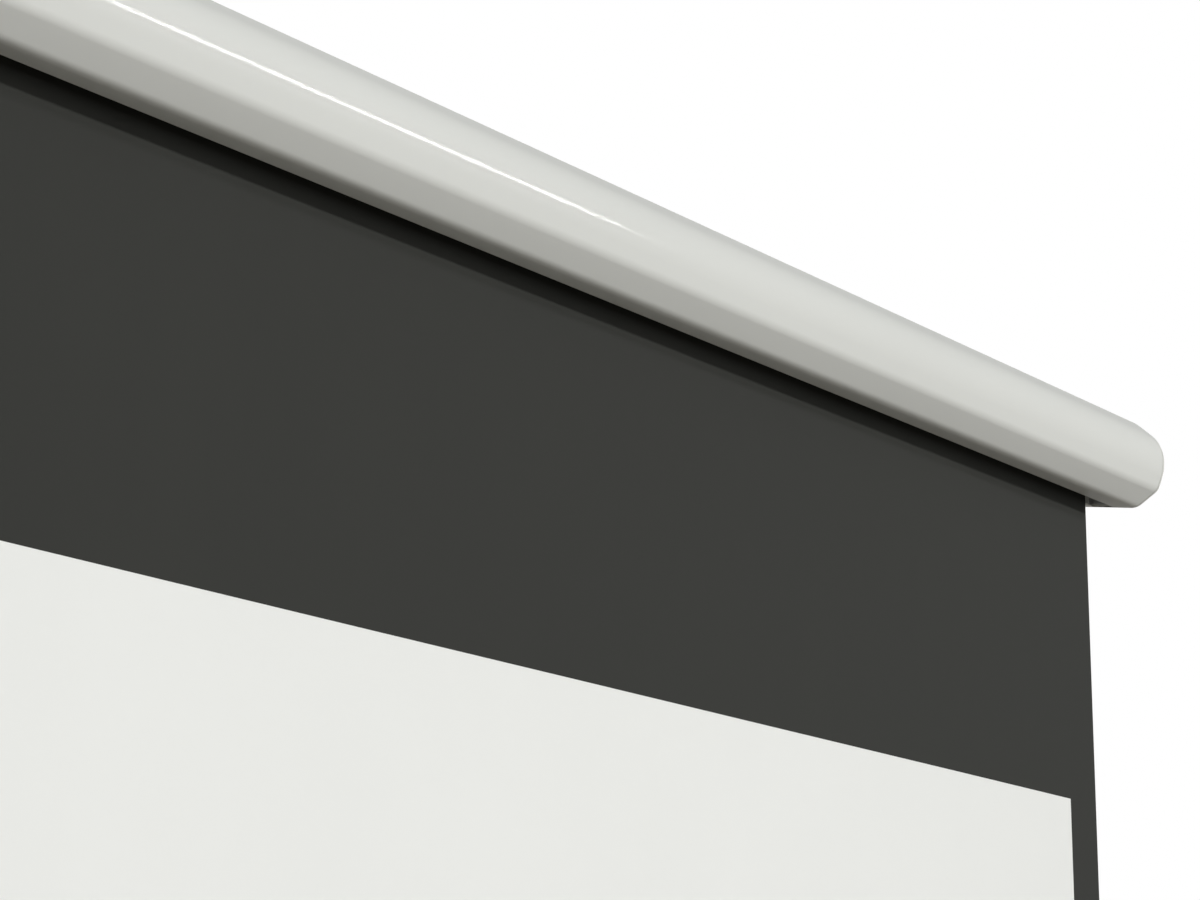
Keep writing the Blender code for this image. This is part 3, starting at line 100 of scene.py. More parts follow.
# Case section
CASE_DEPTH = CASE_HIGH.y - CASE_LOW.y
CASE_HEIGHT = 0.081
ON_CASE = Vector((0, CASE_LOW.y, CASE_HIGH.z - CASE_HEIGHT))
CASE_WALL = 0.002
TOP_FRONT = 0.0285  # u where the flat top meets the sloped front
NOSE_TOP = 0.0557  # w where the sloped front meets the nose
NOSE_BOTTOM = 0.032  # w where the nose starts to fall back
CREASE = (0.007, 0.0137)  # u and w where it meets the lower chamfer
CHIN = 0.029  # u where the chamfer meets the underside
REAR_BOTTOM = 0.0083  # w where the underside meets the back
TOP_FRONT_RADIUS = 0.014
NOSE_TOP_RADIUS = 0.035
NOSE_BOTTOM_RADIUS = 0.040
CREASE_RADIUS = 0.012
CHIN_RADIUS = 0.015
REAR_RADIUS = 0.003
CASE_CORNERS = [
    (CASE_DEPTH, CASE_HEIGHT, REAR_RADIUS),
    (TOP_FRONT, CASE_HEIGHT, TOP_FRONT_RADIUS),
    (0, NOSE_TOP, NOSE_TOP_RADIUS),
    (0, NOSE_BOTTOM, NOSE_BOTTOM_RADIUS),
    (*CREASE, CREASE_RADIUS),
    (CHIN, 0, CHIN_RADIUS),
    (CASE_DEPTH, REAR_BOTTOM, REAR_RADIUS),
]
SLOT_AHEAD = 0.0152  # from the fabric to the front lip's edge
SLOT_BEHIND = 0.0052  # from the fabric to the rear flange's edge
LIP_RADIUS = 0.0008
GROOVE_FROM_REAR = 0.022
GROOVE_WIDTH = 0.008
GROOVE_DEPTH = 0.005
PORT_RADIUS = 0.0017  # screw ports
PORT_FROM_FACE = 0.0054
PORT_WALL = 0.0016
PORT_FOOT = 1.8  # width of the front port's foot, as a share of its top's

# End caps
CAP_THICKNESS = 0.008
CAP_DOME = 0.007
CAP_RIM = 0.0022  # width of the rim round the pocket that holds the end plate
PLATE_POCKET = 0.0026  # depth of that pocket
SEAM_EDGE = 0.0012  # rounding where the cap meets the case
GLAND_LIP = 0.0013  # how far the gland's lip reaches past the edge of its hole
SCREW_HEAD_RADIUS = 0.0030
SCREW_HEAD_HEIGHT = 0.0018
SCREW_HEAD_EDGE = SCREW_HEAD_HEIGHT / 3
SCREW_TURNS = (55, 90, 125)  # degrees, of the cross recesses
RECESS_DEPTH = SCREW_HEAD_HEIGHT * 0.6
RECESS_REACH = 0.55  # length and width of an arm, as shares of the head's radius
RECESS_WIDTH = 0.09

# Weight bar
BAR_RADIUS = 0.004
BAR_SLOT = 0.0016
BAR_CHANNEL = 0.0025  # radius of the channel that holds the hem
BAR_CHANNEL_DEPTH = 0.0075
BAR_ROD_HOLE = 0.0040
BAR_ROD_HEIGHT = 0.0075
BAR_CAP_THICKNESS = 0.004
BAR_CAP_DOME = 0.0022
BAR_CAP_EDGE = 0.0003

# Fabric
FABRIC_STEPS = (96, 128)
COATING_PROUD = 0.00028  # how far the picture's face stands out from the black sheet's

# The fabric's waves, which bow it back by 0 to 3 times their height
WAVE_HEIGHT = 0.00035
WAVE_MIDDLE = 1.5
WAVE_FULLNESS = 0.7
BROAD_WAVE = (5.1, 0.6)  # radians per metre across, and where it starts
NARROW_WAVE = (11.3, -1.1)
NARROW_HEIGHT = 0.5
NARROW_SLANT = 2.0

# Brackets
BRACKET_THICKNESS = 0.0025
BRACKET_EDGE = 0.0004  # width of its softened edges
BRACKET_LIP = 0.0123  # how far its foot reaches forward, under the case
BRACKET_HOLE_RADIUS = 0.00275
BRACKET_HOLE_SPACING = 0.036
BRACKET_WALL_HOLE_W = 0.045
BRACKET_TOP_HOLE_FROM_REAR = 0.012
CLAMP_HOLE_RADIUS = 0.0023

# Studio
FILL = 0.16  # strength of the world's light on surfaces
FLOOR_HALF = 9.0  # half its width
FLOOR_BELOW = 0.45  # under the object's lowest point
FLOOR_COLOUR = (0.82, 0.82, 0.81)
FLOOR_TONES = ((0.81, 0.81, 0.80), (0.84, 0.84, 0.83))  # of its faint clouds
FLOOR_CLOUD = 0.6  # their size
FLOOR_BOUNCE = (0.43, 0.40, 0.36)  # its colour in the light that it throws back
FLOOR_GLOW = 0.3  # its own light, which only the camera and reflections see

# Camera, solved from the edges of the case and the fabric in the photograph
CAMERA_PLACE = (-1.459, -1.309, -0.7385)
CAMERA_DIRECTION = (0.79604, 0.55613, 0.23882)
CAMERA_SENSOR = 36  # mm
CAMERA_LENS = 97.48  # mm
CAMERA_CLIP = (0.05, 60)


# Outlines


def rounded(corners, arc_step=ARC_STEP):
    """Points of a closed outline, from corners (across, up, radius) that are filleted."""
    points = []
    for i, (across, up, radius) in enumerate(corners):
        corner = Vector((across, up))
        back = (Vector(corners[i - 1][:2]) - corner).normalized()
        ahead = (Vector(corners[(i + 1) % len(corners)][:2]) - corner).normalized()
        half = back.angle(ahead) / 2
        if radius == 0:
            points.append(corner)
            continue
        centre = corner + (back + ahead).normalized() * (radius / math.sin(half))
        start = corner + back * (radius / math.tan(half)) - centre
        turn = start.angle_signed(corner + ahead * (radius / math.tan(half)) - centre)
        steps = max(LEAST_ARC_STEPS, round(abs(turn) / arc_step))
        for step in range(steps + 1):
            points.append(centre + Matrix.Rotation(-turn * step / steps, 2) @ start)
    return points


def inset(corners, distance):
    """The same corners drawn in by a distance. They run anticlockwise."""
    drawn_in = []
    for i, (across, up, radius) in enumerate(corners):
        corner = Vector((across, up))
        coming = (corner - Vector(corners[i - 1][:2])).normalized()
        going = (Vector(corners[(i + 1) % len(corners)][:2]) - corner).normalized()
        inward = Vector((-coming.y - going.y, coming.x + going.x))
        place = corner + inward * (distance / (1 + coming.dot(going)))
        drawn_in.append((place.x, place.y, max(radius - distance, LEAST_FILLET * radius)))
    return drawn_in


def circle(centre, radius, steps=ROUND_STEPS, start=0.0, sweep=2 * math.pi):
    """Points on a circle, or on an arc when the sweep is less than a whole turn."""
    whole = math.isclose(abs(sweep), 2 * math.pi)
    count = steps if whole else steps + 1
    angles = [start + sweep * i / steps for i in range(count)]
    return [Vector(centre) + radius * Vector((math.cos(a), math.sin(a))) for a in angles]


def rounding(reach, steps):
    """Pairs (fall, draw-in) of a quarter round that leads from a side over to a face."""
    pairs = []
    for step in range(steps + 1):
        turn = math.pi / 2 * step / steps
        pairs.append((reach * (1 - math.sin(turn)), reach * (1 - math.cos(turn))))
    return pairs


def underside(u, rise=0.0):
    """w of the sloped underside at u, or of a line that lies a distance above it."""
    slope = REAR_BOTTOM / (CASE_DEPTH - CHIN)
    return slope * (u - CHIN) + rise * math.hypot(1, slope)


def fillet_reach(corners, i):
    """How far the fillet at a corner reaches along its two sides."""
    corner = Vector(corners[i][:2])
    back = Vector(corners[i - 1][:2]) - corner
    ahead = Vector(corners[(i + 1) % len(corners)][:2]) - corner
    return corners[i][2] / math.tan(back.angle(ahead) / 2)


def chamfer_frame():
    """The middle of the lower chamfer's flat, the direction up along it, and the way in."""
    crease, chin = 4, 5
    low, high = Vector(CASE_CORNERS[chin][:2]), Vector(CASE_CORNERS[crease][:2])
    along = (high - low).normalized()
    low += along * fillet_reach(CASE_CORNERS, chin)
    high -= along * fillet_reach(CASE_CORNERS, crease)
    return (low + high) / 2, along, Vector((along.y, -along.x))


def screw_ports():
    """Centres (u, w) of the three screw ports: top rear, bottom rear and lower front."""
    foot, _, inward = chamfer_frame()
    from_rear = CASE_DEPTH - PORT_FROM_FACE
    return [
        Vector((from_rear, CASE_HEIGHT - PORT_FROM_FACE)),
        Vector((from_rear, underside(from_rear, PORT_FROM_FACE))),
        foot + inward * PORT_FROM_FACE,
    ]


def case_section():
    """The C-shaped section, whose slot edges are softly rounded."""
    fabric_u = (FABRIC_LOW.y + FABRIC_HIGH.y) / 2 - CASE_LOW.y
    front, rear = fabric_u - SLOT_AHEAD, fabric_u + SLOT_BEHIND
    top_rear, top_front, nose_top, nose_bottom, crease, chin, rear_bottom = CASE_CORNERS
    inner = inset(CASE_CORNERS, CASE_WALL)
    groove = CASE_DEPTH - GROOVE_FROM_REAR
    groove_front, groove_rear = groove - GROOVE_WIDTH / 2, groove + GROOVE_WIDTH / 2
    groove_floor = CASE_HEIGHT - GROOVE_DEPTH
    reach = PORT_RADIUS + PORT_WALL
    high_port, low_port, _ = screw_ports()
    foot, along, inward = chamfer_frame()
    low_side = low_port.x - reach
    outline = [
        (front, underside(front), LIP_RADIUS),
        chin,
        crease,
        nose_bottom,
        nose_top,
        top_front,
        (groove_front, CASE_HEIGHT, LIP_RADIUS / 2),
        (groove_front, groove_floor, 0),
        (groove_rear, groove_floor, 0),
        (groove_rear, CASE_HEIGHT, LIP_RADIUS / 2),
        top_rear,
        rear_bottom,
        (rear, underside(rear), LIP_RADIUS),
        (rear, underside(rear, CASE_WALL), LIP_RADIUS),
        (low_side, underside(low_side, CASE_WALL), 0),
        (low_side, low_port.y + reach, 0),
        (inner[0][0], low_port.y + 2 * reach, 0),
        (inner[0][0], high_port.y - 2 * reach, 0),
        (high_port.x - reach, high_port.y - reach, 0),
        (groove_rear + CASE_WALL, groove_floor - CASE_WALL, 0),
        (groove_front - CASE_WALL, groove_floor - CASE_WALL, 0),
        (groove_front - CASE_WALL, inner[1][1], 0),
        inner[1],
        inner[2],
        inner[3],
        inner[4],
    ]
    bump_top = PORT_FROM_FACE + reach
    front_port = [(PORT_FOOT, CASE_WALL), (1, bump_top), (-1, bump_top), (-PORT_FOOT, CASE_WALL)]
    for shift, depth in front_port:
        point = foot + along * shift * reach + inward * depth
        outline.append((point.x, point.y, 0))
    outline += [inner[5], (front, underside(front, CASE_WALL), LIP_RADIUS)]
    return rounded(outline)


# Modelling helpers


def linked(name, content):
    """A new object in the scene, from a mesh, a curve, a lamp or a camera."""
    thing = bpy.data.objects.new(name, content)
    bpy.context.scene.collection.objects.link(thing)
    return thing


def smoothed(thing):
    """Shades an object smooth, apart from its sharp edges."""
    thing.data.shade_smooth()
    thing.data.set_sharp_from_angle(angle=SHARP_ANGLE)
    return thing


def from_bmesh(name, shape):
    """A new object from a bmesh, which is used up."""
    mesh = bpy.data.meshes.new(name)
    bmesh.ops.recalc_face_normals(shape, faces=shape.faces)
    shape.to_mesh(mesh)
    shape.free()
    return smoothed(linked(name, mesh))


def evaluated(thing):
    """The object's mesh with its modifiers or its curve's extrusion applied, welded."""
    bpy.context.view_layer.update()
    graph = bpy.context.evaluated_depsgraph_get()
    mesh = bpy.data.meshes.new_from_object(thing.evaluated_get(graph))
    welded = bmesh.new()
    welded.from_mesh(mesh)
    bmesh.ops.remove_doubles(welded, verts=welded.verts, dist=WELD)
    bmesh.ops.dissolve_degenerate(welded, edges=welded.edges, dist=SLIVER)
    welded.to_mesh(mesh)
    welded.free()
    return mesh


def section(name, outlines, x_from, x_to, place=ON_CASE):
    """Outlines in the (y, z) plane from a place, run along X; inner ones are holes."""
    curve = bpy.data.curves.new(name, "CURVE")
    curve.dimensions = "2D"
    curve.fill_mode = "BOTH"
    curve.extrude = (x_to - x_from) / 2
    for outline in outlines:
        spline = curve.splines.new("POLY")
        spline.points.add(len(outline) - 1)
        for point, (across, up) in zip(spline.points, outline):
            point.co = (across, up, 0, 1)
        spline.use_cyclic_u = True
    drawn = linked(name + "_curve", curve)
    turn = Matrix(((0, 0, 1), (1, 0, 0), (0, 1, 0))).to_4x4()
    mesh = evaluated(drawn)
    mesh.transform(Matrix.Translation(((x_from + x_to) / 2, place.y, place.z)) @ turn)
    bpy.data.objects.remove(drawn)
    return smoothed(linked(name, mesh))


def stacked(corners, rings, near, outward, place=ON_CASE):
    """An outline at each of the rings (depth, draw-in), stacked along X from near."""
    placed = []
    for depth, drawn_in in rings:
        x = near + outward * depth
        outline = rounded(inset(corners, drawn_in))
        placed.append([(x, place.y + across, place.z + up) for across, up in outline])
    return placed


def lofted(name, rings):
    """A closed solid through rings of equally many points."""
    shape = bmesh.new()
    loops = [[shape.verts.new(point) for point in ring] for ring in rings]
    for near, far in zip(loops, loops[1:]):
        for i in range(len(near)):
            j = (i + 1) % len(near)
            shape.faces.new((near[i], near[j], far[j], far[i]))
    shape.faces.new(reversed(loops[0]))
    shape.faces.new(loops[-1])
    return from_bmesh(name, shape)


def turned(name, outline, steps=ROUND_STEPS):
    """A turned solid round Z, from (height, radius) pairs that start and end on the axis."""
    shape = bmesh.new()
    rings = []
    for height, radius in outline:
        points = [(0, 0)] if radius == 0 else circle((0, 0), radius, steps)
        rings.append([shape.verts.new((*point, height)) for point in points])
    for near, far in zip(rings, rings[1:]):
        for i in range(steps):
            j = (i + 1) % steps
            corners = [near[i % len(near)], near[j % len(near)], far[j % len(far)], far[i % len(far)]]
            shape.faces.new(list(dict.fromkeys(corners)))
    return from_bmesh(name, shape)


def bar_between(name, low, high):
    """A box-shaped cutter."""
    shape = bmesh.new()
    bmesh.ops.create_cube(shape, size=1)
    bmesh.ops.scale(shape, vec=Vector(high) - Vector(low), verts=shape.verts)
    bmesh.ops.translate(shape, vec=(Vector(high) + Vector(low)) / 2, verts=shape.verts)
    return from_bmesh(name, shape)


def rod(name, start, end, radius, steps=ROUND_STEPS):
    """A round cutter between two points."""
    start, end = Vector(start), Vector(end)
    length = (end - start).length
    made = turned(name, [(0, 0), (0, radius), (length, radius), (length, 0)], steps)
    spin = (end - start).to_track_quat("Z", "Y").to_matrix().to_4x4()
    made.data.transform(Matrix.Translation(start) @ spin)
    return made


def cut(thing, cutters):
    """Takes the cutters out of a solid, and removes them."""
    for cutter in cutters:
        boolean = thing.modifiers.new(cutter.name, "BOOLEAN")
        boolean.operation = "DIFFERENCE"
        boolean.solver = "EXACT"
        boolean.object = cutter
    mesh = evaluated(thing)
    thing.modifiers.clear()
    thing.data = mesh
    for cutter in cutters:
        bpy.data.objects.remove(cutter)
    return smoothed(thing)


def soften(thing, width):
    """Breaks the sharp edges of a solid."""
    bevel = thing.modifiers.new("softened", "BEVEL")
    bevel.width = width
    bevel.segments = 2
    bevel.limit_method = "ANGLE"
    bevel.angle_limit = SHARP_ANGLE
    thing.data = evaluated(thing)
    thing.modifiers.clear()
    return smoothed(thing)


# Procedural finishes


class Nodes:
    """A short way to write a material's node tree."""

    def __init__(self, name, colour):
        self.material = bpy.data.materials.new(name)
        self.material.use_nodes = True
        self.material.diffuse_color = (*colour, 1)
        self.tree = self.material.node_tree
        self.shader = self.tree.nodes["Principled BSDF"]
        self.place = self.add("ShaderNodeTexCoord").outputs["Object"]

    def add(self, kind, **settings):
        """A new node with its settings."""
        node = self.tree.nodes.new(kind)
        for key, value in settings.items():
            setattr(node, key, value)
        return node

    def link(self, source, socket):
        self.tree.links.new(source, socket)

    def stretched(self, scale):
        """Object coordinates scaled by a factor for each axis."""
        node = self.add("ShaderNodeMapping")
        node.inputs["Scale"].default_value = scale
        self.link(self.place, node.inputs["Vector"])
        return node.outputs["Vector"]

    def noise(self, size, stretch=(1, 1, 1), detail=3.0):
        """Clouds of about a size, which a factor under 1 makes longer along its axis."""
        node = self.add("ShaderNodeTexNoise")
        node.inputs["Scale"].default_value = 1 / size
        node.inputs["Detail"].default_value = detail
        node.inputs["Roughness"].default_value = 0.55
        self.link(self.stretched(stretch), node.inputs["Vector"])
        return node.outputs["Fac"]

    def threads(self, pitch, direction):
        """Rounded parallel ridges of a pitch, across X, Y or Z."""
        node = self.add("ShaderNodeTexWave", wave_type="BANDS", bands_direction=direction)
        # Bands are pi / 10 apart at a scale of 1
        node.inputs["Scale"].default_value = math.pi / (10 * pitch)
        node.inputs["Distortion"].default_value = 0.6
        node.inputs["Detail"].default_value = 1.0
        node.inputs["Detail Scale"].default_value = 0.5
        self.link(self.place, node.inputs["Vector"])
        return node.outputs["Fac"]

    def spread(self, value, low, high, darkest=0.3, brightest=0.7):
        """Maps a value's usual range, from darkest to brightest, to low and high."""
        node = self.add("ShaderNodeMapRange")
        node.inputs["From Min"].default_value = darkest
        node.inputs["From Max"].default_value = brightest
        node.inputs["To Min"].default_value = low
        node.inputs["To Max"].default_value = high
        self.link(value, node.inputs["Value"])
        return node.outputs["Result"]

    def summed(self, first, second):
        node = self.add("ShaderNodeMath", operation="ADD")
        self.link(first, node.inputs[0])
        self.link(second, node.inputs[1])
        return node.outputs["Value"]

    def tint(self, colour, other, share):
        """Varies the base colour between two colours by a value from 0 to 1."""
        node = self.add("ShaderNodeMix", data_type="RGBA")
        node.inputs["A"].default_value = (*colour, 1)
        node.inputs["B"].default_value = (*other, 1)
        self.link(share, node.inputs["Factor"])
        self.link(node.outputs["Result"], self.shader.inputs["Base Color"])

    def rough(self, value):
        """Lets a value set the roughness."""
        self.link(value, self.shader.inputs["Roughness"])

    def relief(self, value, depth, strength=1.0):
        """Shades the surface as if a value raised it by up to a depth."""
        node = self.add("ShaderNodeBump")
        node.inputs["Distance"].default_value = depth
        node.inputs["Strength"].default_value = strength
        self.link(value, node.inputs["Height"])
        self.link(node.outputs["Normal"], self.shader.inputs["Normal"])

    def constants(self, **sockets):
        """Sets values on the shader's own sockets."""
        for key, value in sockets.items():
            self.shader.inputs[key.replace("_", " ")].default_value = value


def shaded(colour, factor):
    """A colour made darker or lighter by a factor."""
    return tuple(min(1.0, part * factor) for part in colour)


def paint(name, colour, roughness, peel, gloss):
    """Powder coat or moulded plastic: faint mottle, orange peel and a clear gloss."""
    nodes = Nodes(name, colour)
    cloud = nodes.noise(size=0.30, stretch=(0.35, 1, 1), detail=2.0)
    nodes.tint(shaded(colour, 0.975), shaded(colour, 1.02), nodes.spread(cloud, 0, 1))
    fine = nodes.noise(size=0.0022, detail=2.0)
    nodes.rough(nodes.spread(fine, roughness * 0.9, roughness * 1.1))
    nodes.relief(fine, peel)
    nodes.constants(Coat_Weight=gloss, Coat_Roughness=0.08, Coat_IOR=1.4, Specular_IOR_Level=0.0)
    return nodes.material


def metal(name, colour, roughness, grain, stretch=(1, 1, 1)):
    """Plain metal: streaks or spangle with wide blotches, in its roughness and colour."""
    nodes = Nodes(name, colour)
    streaks = nodes.noise(size=grain, stretch=stretch, detail=4.0)
    blotches = nodes.noise(size=grain * 14, detail=2.0)
    mixed = nodes.summed(streaks, blotches)
    share = nodes.spread(mixed, 0, 1, darkest=0.7, brightest=1.3)
    nodes.tint(shaded(colour, 0.82), shaded(colour, 1.12), share)
    nodes.rough(nodes.spread(mixed, roughness * 0.75, roughness * 1.3, darkest=0.7, brightest=1.3))
    nodes.relief(streaks, grain * 0.02)
    nodes.constants(Metallic=1.0)
    return nodes.material


def moulded(name, colour, roughness, grain=0.0009, coat=0.0):
    """Moulded plastic or rubber with a spark-eroded grain."""
    nodes = Nodes(name, colour)
    fine = nodes.noise(size=grain, detail=2.0)
    cloud = nodes.noise(size=0.02)
    nodes.tint(shaded(colour, 0.85), shaded(colour, 1.15), nodes.spread(cloud, 0, 1))
    nodes.rough(nodes.spread(fine, roughness * 0.85, roughness * 1.15))
    nodes.relief(fine, grain * 0.05)
    nodes.constants(Coat_Weight=coat, Coat_Roughness=0.1)
    return nodes.material


def cloth(name, colour, pitch, contrast, roughness):
    """Coated glass-fibre cloth: crossing threads under the coat, and faint clouds in it."""
    nodes = Nodes(name, colour)
    weave = nodes.summed(nodes.threads(pitch, "X"), nodes.threads(pitch, "Z"))
    cloud = nodes.noise(size=0.16, stretch=(1, 1, 0.6))
    weave_share = nodes.spread(weave, 0, 0.35, darkest=0, brightest=2)
    share = nodes.summed(weave_share, nodes.spread(cloud, 0, 0.65))
    nodes.tint(shaded(colour, 1 - contrast), shaded(colour, 1 + contrast), share)
    nodes.rough(nodes.spread(cloud, roughness * 0.95, roughness * 1.05))
    nodes.relief(weave, pitch * 0.03, strength=0.5)
    nodes.constants(Specular_IOR_Level=0.03)
    return nodes.material


def board_mask(name, colour):
    """Green solder mask with paler traces, laid out like the joints of a brick wall."""
    nodes = Nodes(name, colour)
    trace_colour = (0.10, 0.30, 0.14)
    traces = nodes.add("ShaderNodeTexBrick")
    traces.inputs["Scale"].default_value = 90
    traces.inputs["Mortar Size"].default_value = 0.06
    traces.inputs["Color1"].default_value = (0, 0, 0, 1)
    traces.inputs["Color2"].default_value = (0.15, 0.15, 0.15, 1)
    traces.inputs["Mortar"].default_value = (1, 1, 1, 1)
    upright = nodes.add("ShaderNodeMapping")
    upright.inputs["Rotation"].default_value = (math.pi / 2, 0, math.pi / 2)
    nodes.link(nodes.place, upright.inputs["Vector"])
    nodes.link(upright.outputs["Vector"], traces.inputs["Vector"])
    nodes.tint(colour, trace_colour, traces.outputs["Color"])
    nodes.rough(nodes.spread(nodes.noise(size=0.003), 0.3, 0.45))
    return nodes.material


def winding(name, colour):
    """Varnished copper turns side by side, darker in the grooves between them as painted shade and
    lighter on their crests as a painted highlight.
    """
    nodes = Nodes(name, colour)
    turns = nodes.threads(pitch=0.0009, direction="X")
    # painted shade in the grooves between turns and a painted highlight on their crests
    nodes.tint(shaded(colour, 0.5), shaded(colour, 1.2), turns)
    nodes.rough(nodes.spread(turns, 0.25, 0.45, darkest=0, brightest=1))
    nodes.relief(turns, depth=0.0002)
    nodes.constants(Metallic=1.0)
    return nodes.material


MATERIALS = {
    "case_paint": paint("case_paint", (0.68, 0.69, 0.66), roughness=0.6, peel=0.0000008, gloss=0.08),
    "cap_plastic": paint("cap_plastic", (0.655, 0.66, 0.62), roughness=0.6, peel=0.000006, gloss=0.04),
    "zinc_steel": metal("zinc_steel", (0.55, 0.55, 0.53), roughness=0.38, grain=0.0016),
    "dark_steel": metal("dark_steel", (0.10, 0.10, 0.11), roughness=0.45, grain=0.0012),
    "raw_aluminium": metal(
        "raw_aluminium", (0.72, 0.72, 0.73), roughness=0.34, grain=0.0009, stretch=(0.02, 1, 1)
    ),
    "brass": metal("brass", (0.65, 0.48, 0.20), roughness=0.36, grain=0.0006),
    "copper_winding": winding("copper_winding", (0.45, 0.20, 0.10)),
    "grey_plastic": moulded("grey_plastic", (0.12, 0.12, 0.13), roughness=0.5),
    "black_plastic": moulded("black_plastic", (0.02, 0.02, 0.02), roughness=0.42),
    "adjuster_plastic": moulded("adjuster_plastic", (0.75, 0.62, 0.08), roughness=0.42, coat=0.3),
    "relay_blue": moulded("relay_blue", (0.05, 0.16, 0.42), roughness=0.4, coat=0.3),
    "rubber": moulded("rubber", (0.03, 0.03, 0.03), roughness=0.75, grain=0.0006),
    "dark_lens": moulded("dark_lens", (0.03, 0.005, 0.01), roughness=0.12, coat=1.0),
    "circuit_board": board_mask("circuit_board", (0.03, 0.16, 0.07)),
    "black_fabric": cloth(
        "black_fabric", (0.037, 0.038, 0.0345), pitch=0.0006, contrast=0.10, roughness=0.85
    ),
    "white_screen": cloth(
        "white_screen", (0.80, 0.81, 0.785), pitch=0.0004, contrast=0.012, roughness=0.9
    ),
}


def dressed(thing, material, body, *nodes):
    """Gives a new piece its finish and its body, and hides the solids that it stands for."""
    thing.data.materials.clear()
    thing.data.materials.append(MATERIALS[material])
    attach(thing, body)
    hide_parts(*nodes)
    return thing


def dress_solids():
    """Gives every carried-over solid the finish of its slot."""
    for entry in frame["record"]["subparts"]:
        solid = frame["nodes"][entry["node"]]
        solid.data.materials.clear()
        solid.data.materials.append(MATERIALS[entry["material_slot"]])
        smoothed(solid)


# Case and end caps


def build_case():
    """The painted extrusion, with its screw ports as holes through its section."""
    ports = [circle(port, PORT_RADIUS, PORT_STEPS) for port in screw_ports()]
    case = section("case_shell", [case_section(), *ports], CASE_LOW.x, CASE_HIGH.x)
    dressed(case, "case_paint", "case", "case_extrusion")


def cap_rings():
    """Rings from the pocket's floor, round the rim and seam edge, over the domed edge."""
    seam = reversed(rounding(SEAM_EDGE, EDGE_STEPS))
    rings = [(PLATE_POCKET, CAP_RIM), (0, CAP_RIM)]
    rings += [(SEAM_EDGE - fall, drawn_in) for fall, drawn_in in seam]
    rings += [(CAP_THICKNESS - fall, drawn_in) for fall, drawn_in in rounding(CAP_DOME, DOME_STEPS)]
    return rings


def screw_places(face):
    """Middles of the three screws, level with an end cap's face."""
    return [Vector((face, ON_CASE.y + u, ON_CASE.z + w)) for u, w in screw_ports()]


def build_cap(side, end, outward, extra_cutters=()):
    """An end cap with its sunk screws, and any other openings that it has."""
    near, face = end + outward * FIT, end + outward * (FIT + CAP_THICKNESS)
    cap = lofted(f"{side}_cap_shell", stacked(CASE_CORNERS, cap_rings(), near, outward))
    cutters = list(extra_cutters)
    for place in screw_places(face):
        beyond = place + Vector((outward * BEYOND, 0, 0))
        seat = place - Vector((outward * (SCREW_HEAD_HEIGHT + FIT), 0, 0))
        through = place - Vector((outward * (CAP_THICKNESS + BEYOND), 0, 0))
        cutters.append(rod("counterbore", seat, beyond, SCREW_HEAD_RADIUS + FIT))
        cutters.append(rod("screw_hole", through, beyond, PORT_RADIUS, PORT_STEPS))
    dressed(cut(cap, cutters), "cap_plastic", "case", f"{side}_end_cap")


def cross_recess(length, radius):
    """Two crossed cutters in the head of a screw that stands on Z."""
    floor, top = length - RECESS_DEPTH, length + FIT
    arm, width = radius * RECESS_REACH, radius * RECESS_WIDTH
    return [
        bar_between("slot_a", (-arm, -width, floor), (arm, width, top)),
        bar_between("slot_b", (-width, -arm, floor), (width, arm, top)),
    ]


def build_screws(side, outward):
    """Pan-head screws with a cross recess, sunk in the cap."""
    for number, turn in enumerate(SCREW_TURNS, 1):
        node = f"{side}_cap_screw_{number}"
        low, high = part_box(node)
        radius = (high.z - low.z) / 2
        length = high.x - low.x
        shank = length - SCREW_HEAD_HEIGHT
        outline = [(0, 0), (0, PORT_RADIUS - FIT), (shank, PORT_RADIUS - FIT), (shank, radius)]
        head = rounding(SCREW_HEAD_EDGE, EDGE_STEPS)
        outline += [(length - fall, radius - drawn_in) for fall, drawn_in in head]
        screw = turned(f"{side}_cross_screw_{number}", [*outline, (length, 0)], HOLE_STEPS)
        cut(screw, cross_recess(length, radius))
        spin = Matrix.Rotation(math.radians(turn), 4, "Z")
        lay = Matrix.Rotation(outward * math.pi / 2, 4, "Y")
        inner = low.x if outward > 0 else high.x
        middle = (low + high) / 2
        screw.data.transform(Matrix.Translation((inner, middle.y, middle.z)) @ lay @ spin)
        dressed(screw, "zinc_steel", "case", node)


def socket_cutters(face):
    """Openings of the left cap for what it holds: socket, button, gland and window."""
    near, beyond = CASE_LOW.x + BEYOND, face - BEYOND
    low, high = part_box("control_socket")
    corner, far_corner = (beyond, low.y - FIT, low.z - FIT), (near, high.y + FIT, high.z + FIT)
    cutters = [bar_between("socket_window", corner, far_corner)]
    for node, grow in (("push_button", FIT), ("cable_gland", -GLAND_LIP), ("receiver_window", FIT)):
        low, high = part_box(node)
        middle = (low + high) / 2
        radius = (high.z - low.z) / 2 + grow
        deep = high.x + FIT if node == "receiver_window" else near
        start, end = (beyond, middle.y, middle.z), (deep, middle.y, middle.z)
        cutters.append(rod(f"{node}_hole", start, end, radius))
    return cutters


def build_ends():
    """Both end caps and their screws."""
    left_face = CASE_LOW.x - FIT - CAP_THICKNESS
    build_cap("left", CASE_LOW.x, -1, socket_cutters(left_face))
    build_cap("right", CASE_HIGH.x, 1)
    build_screws("left", -1)
    build_screws("right", 1)


# Weight bar


def build_bar_cap(side, end, outward, corners, place):
    """A cap with a fine edge at the seam and a domed edge outside."""
    rings = [(0, BAR_CAP_EDGE), (BAR_CAP_EDGE, 0)]
    dome = rounding(BAR_CAP_DOME, DOME_STEPS)
    rings += [(BAR_CAP_THICKNESS - fall, drawn_in) for fall, drawn_in in dome]
    near = end + outward * FIT
    cap = lofted(f"{side}_bar_cap_shell", stacked(corners, rings, near, outward, place))
    dressed(cap, "cap_plastic", "weight_bar", f"{side}_bar_cap")


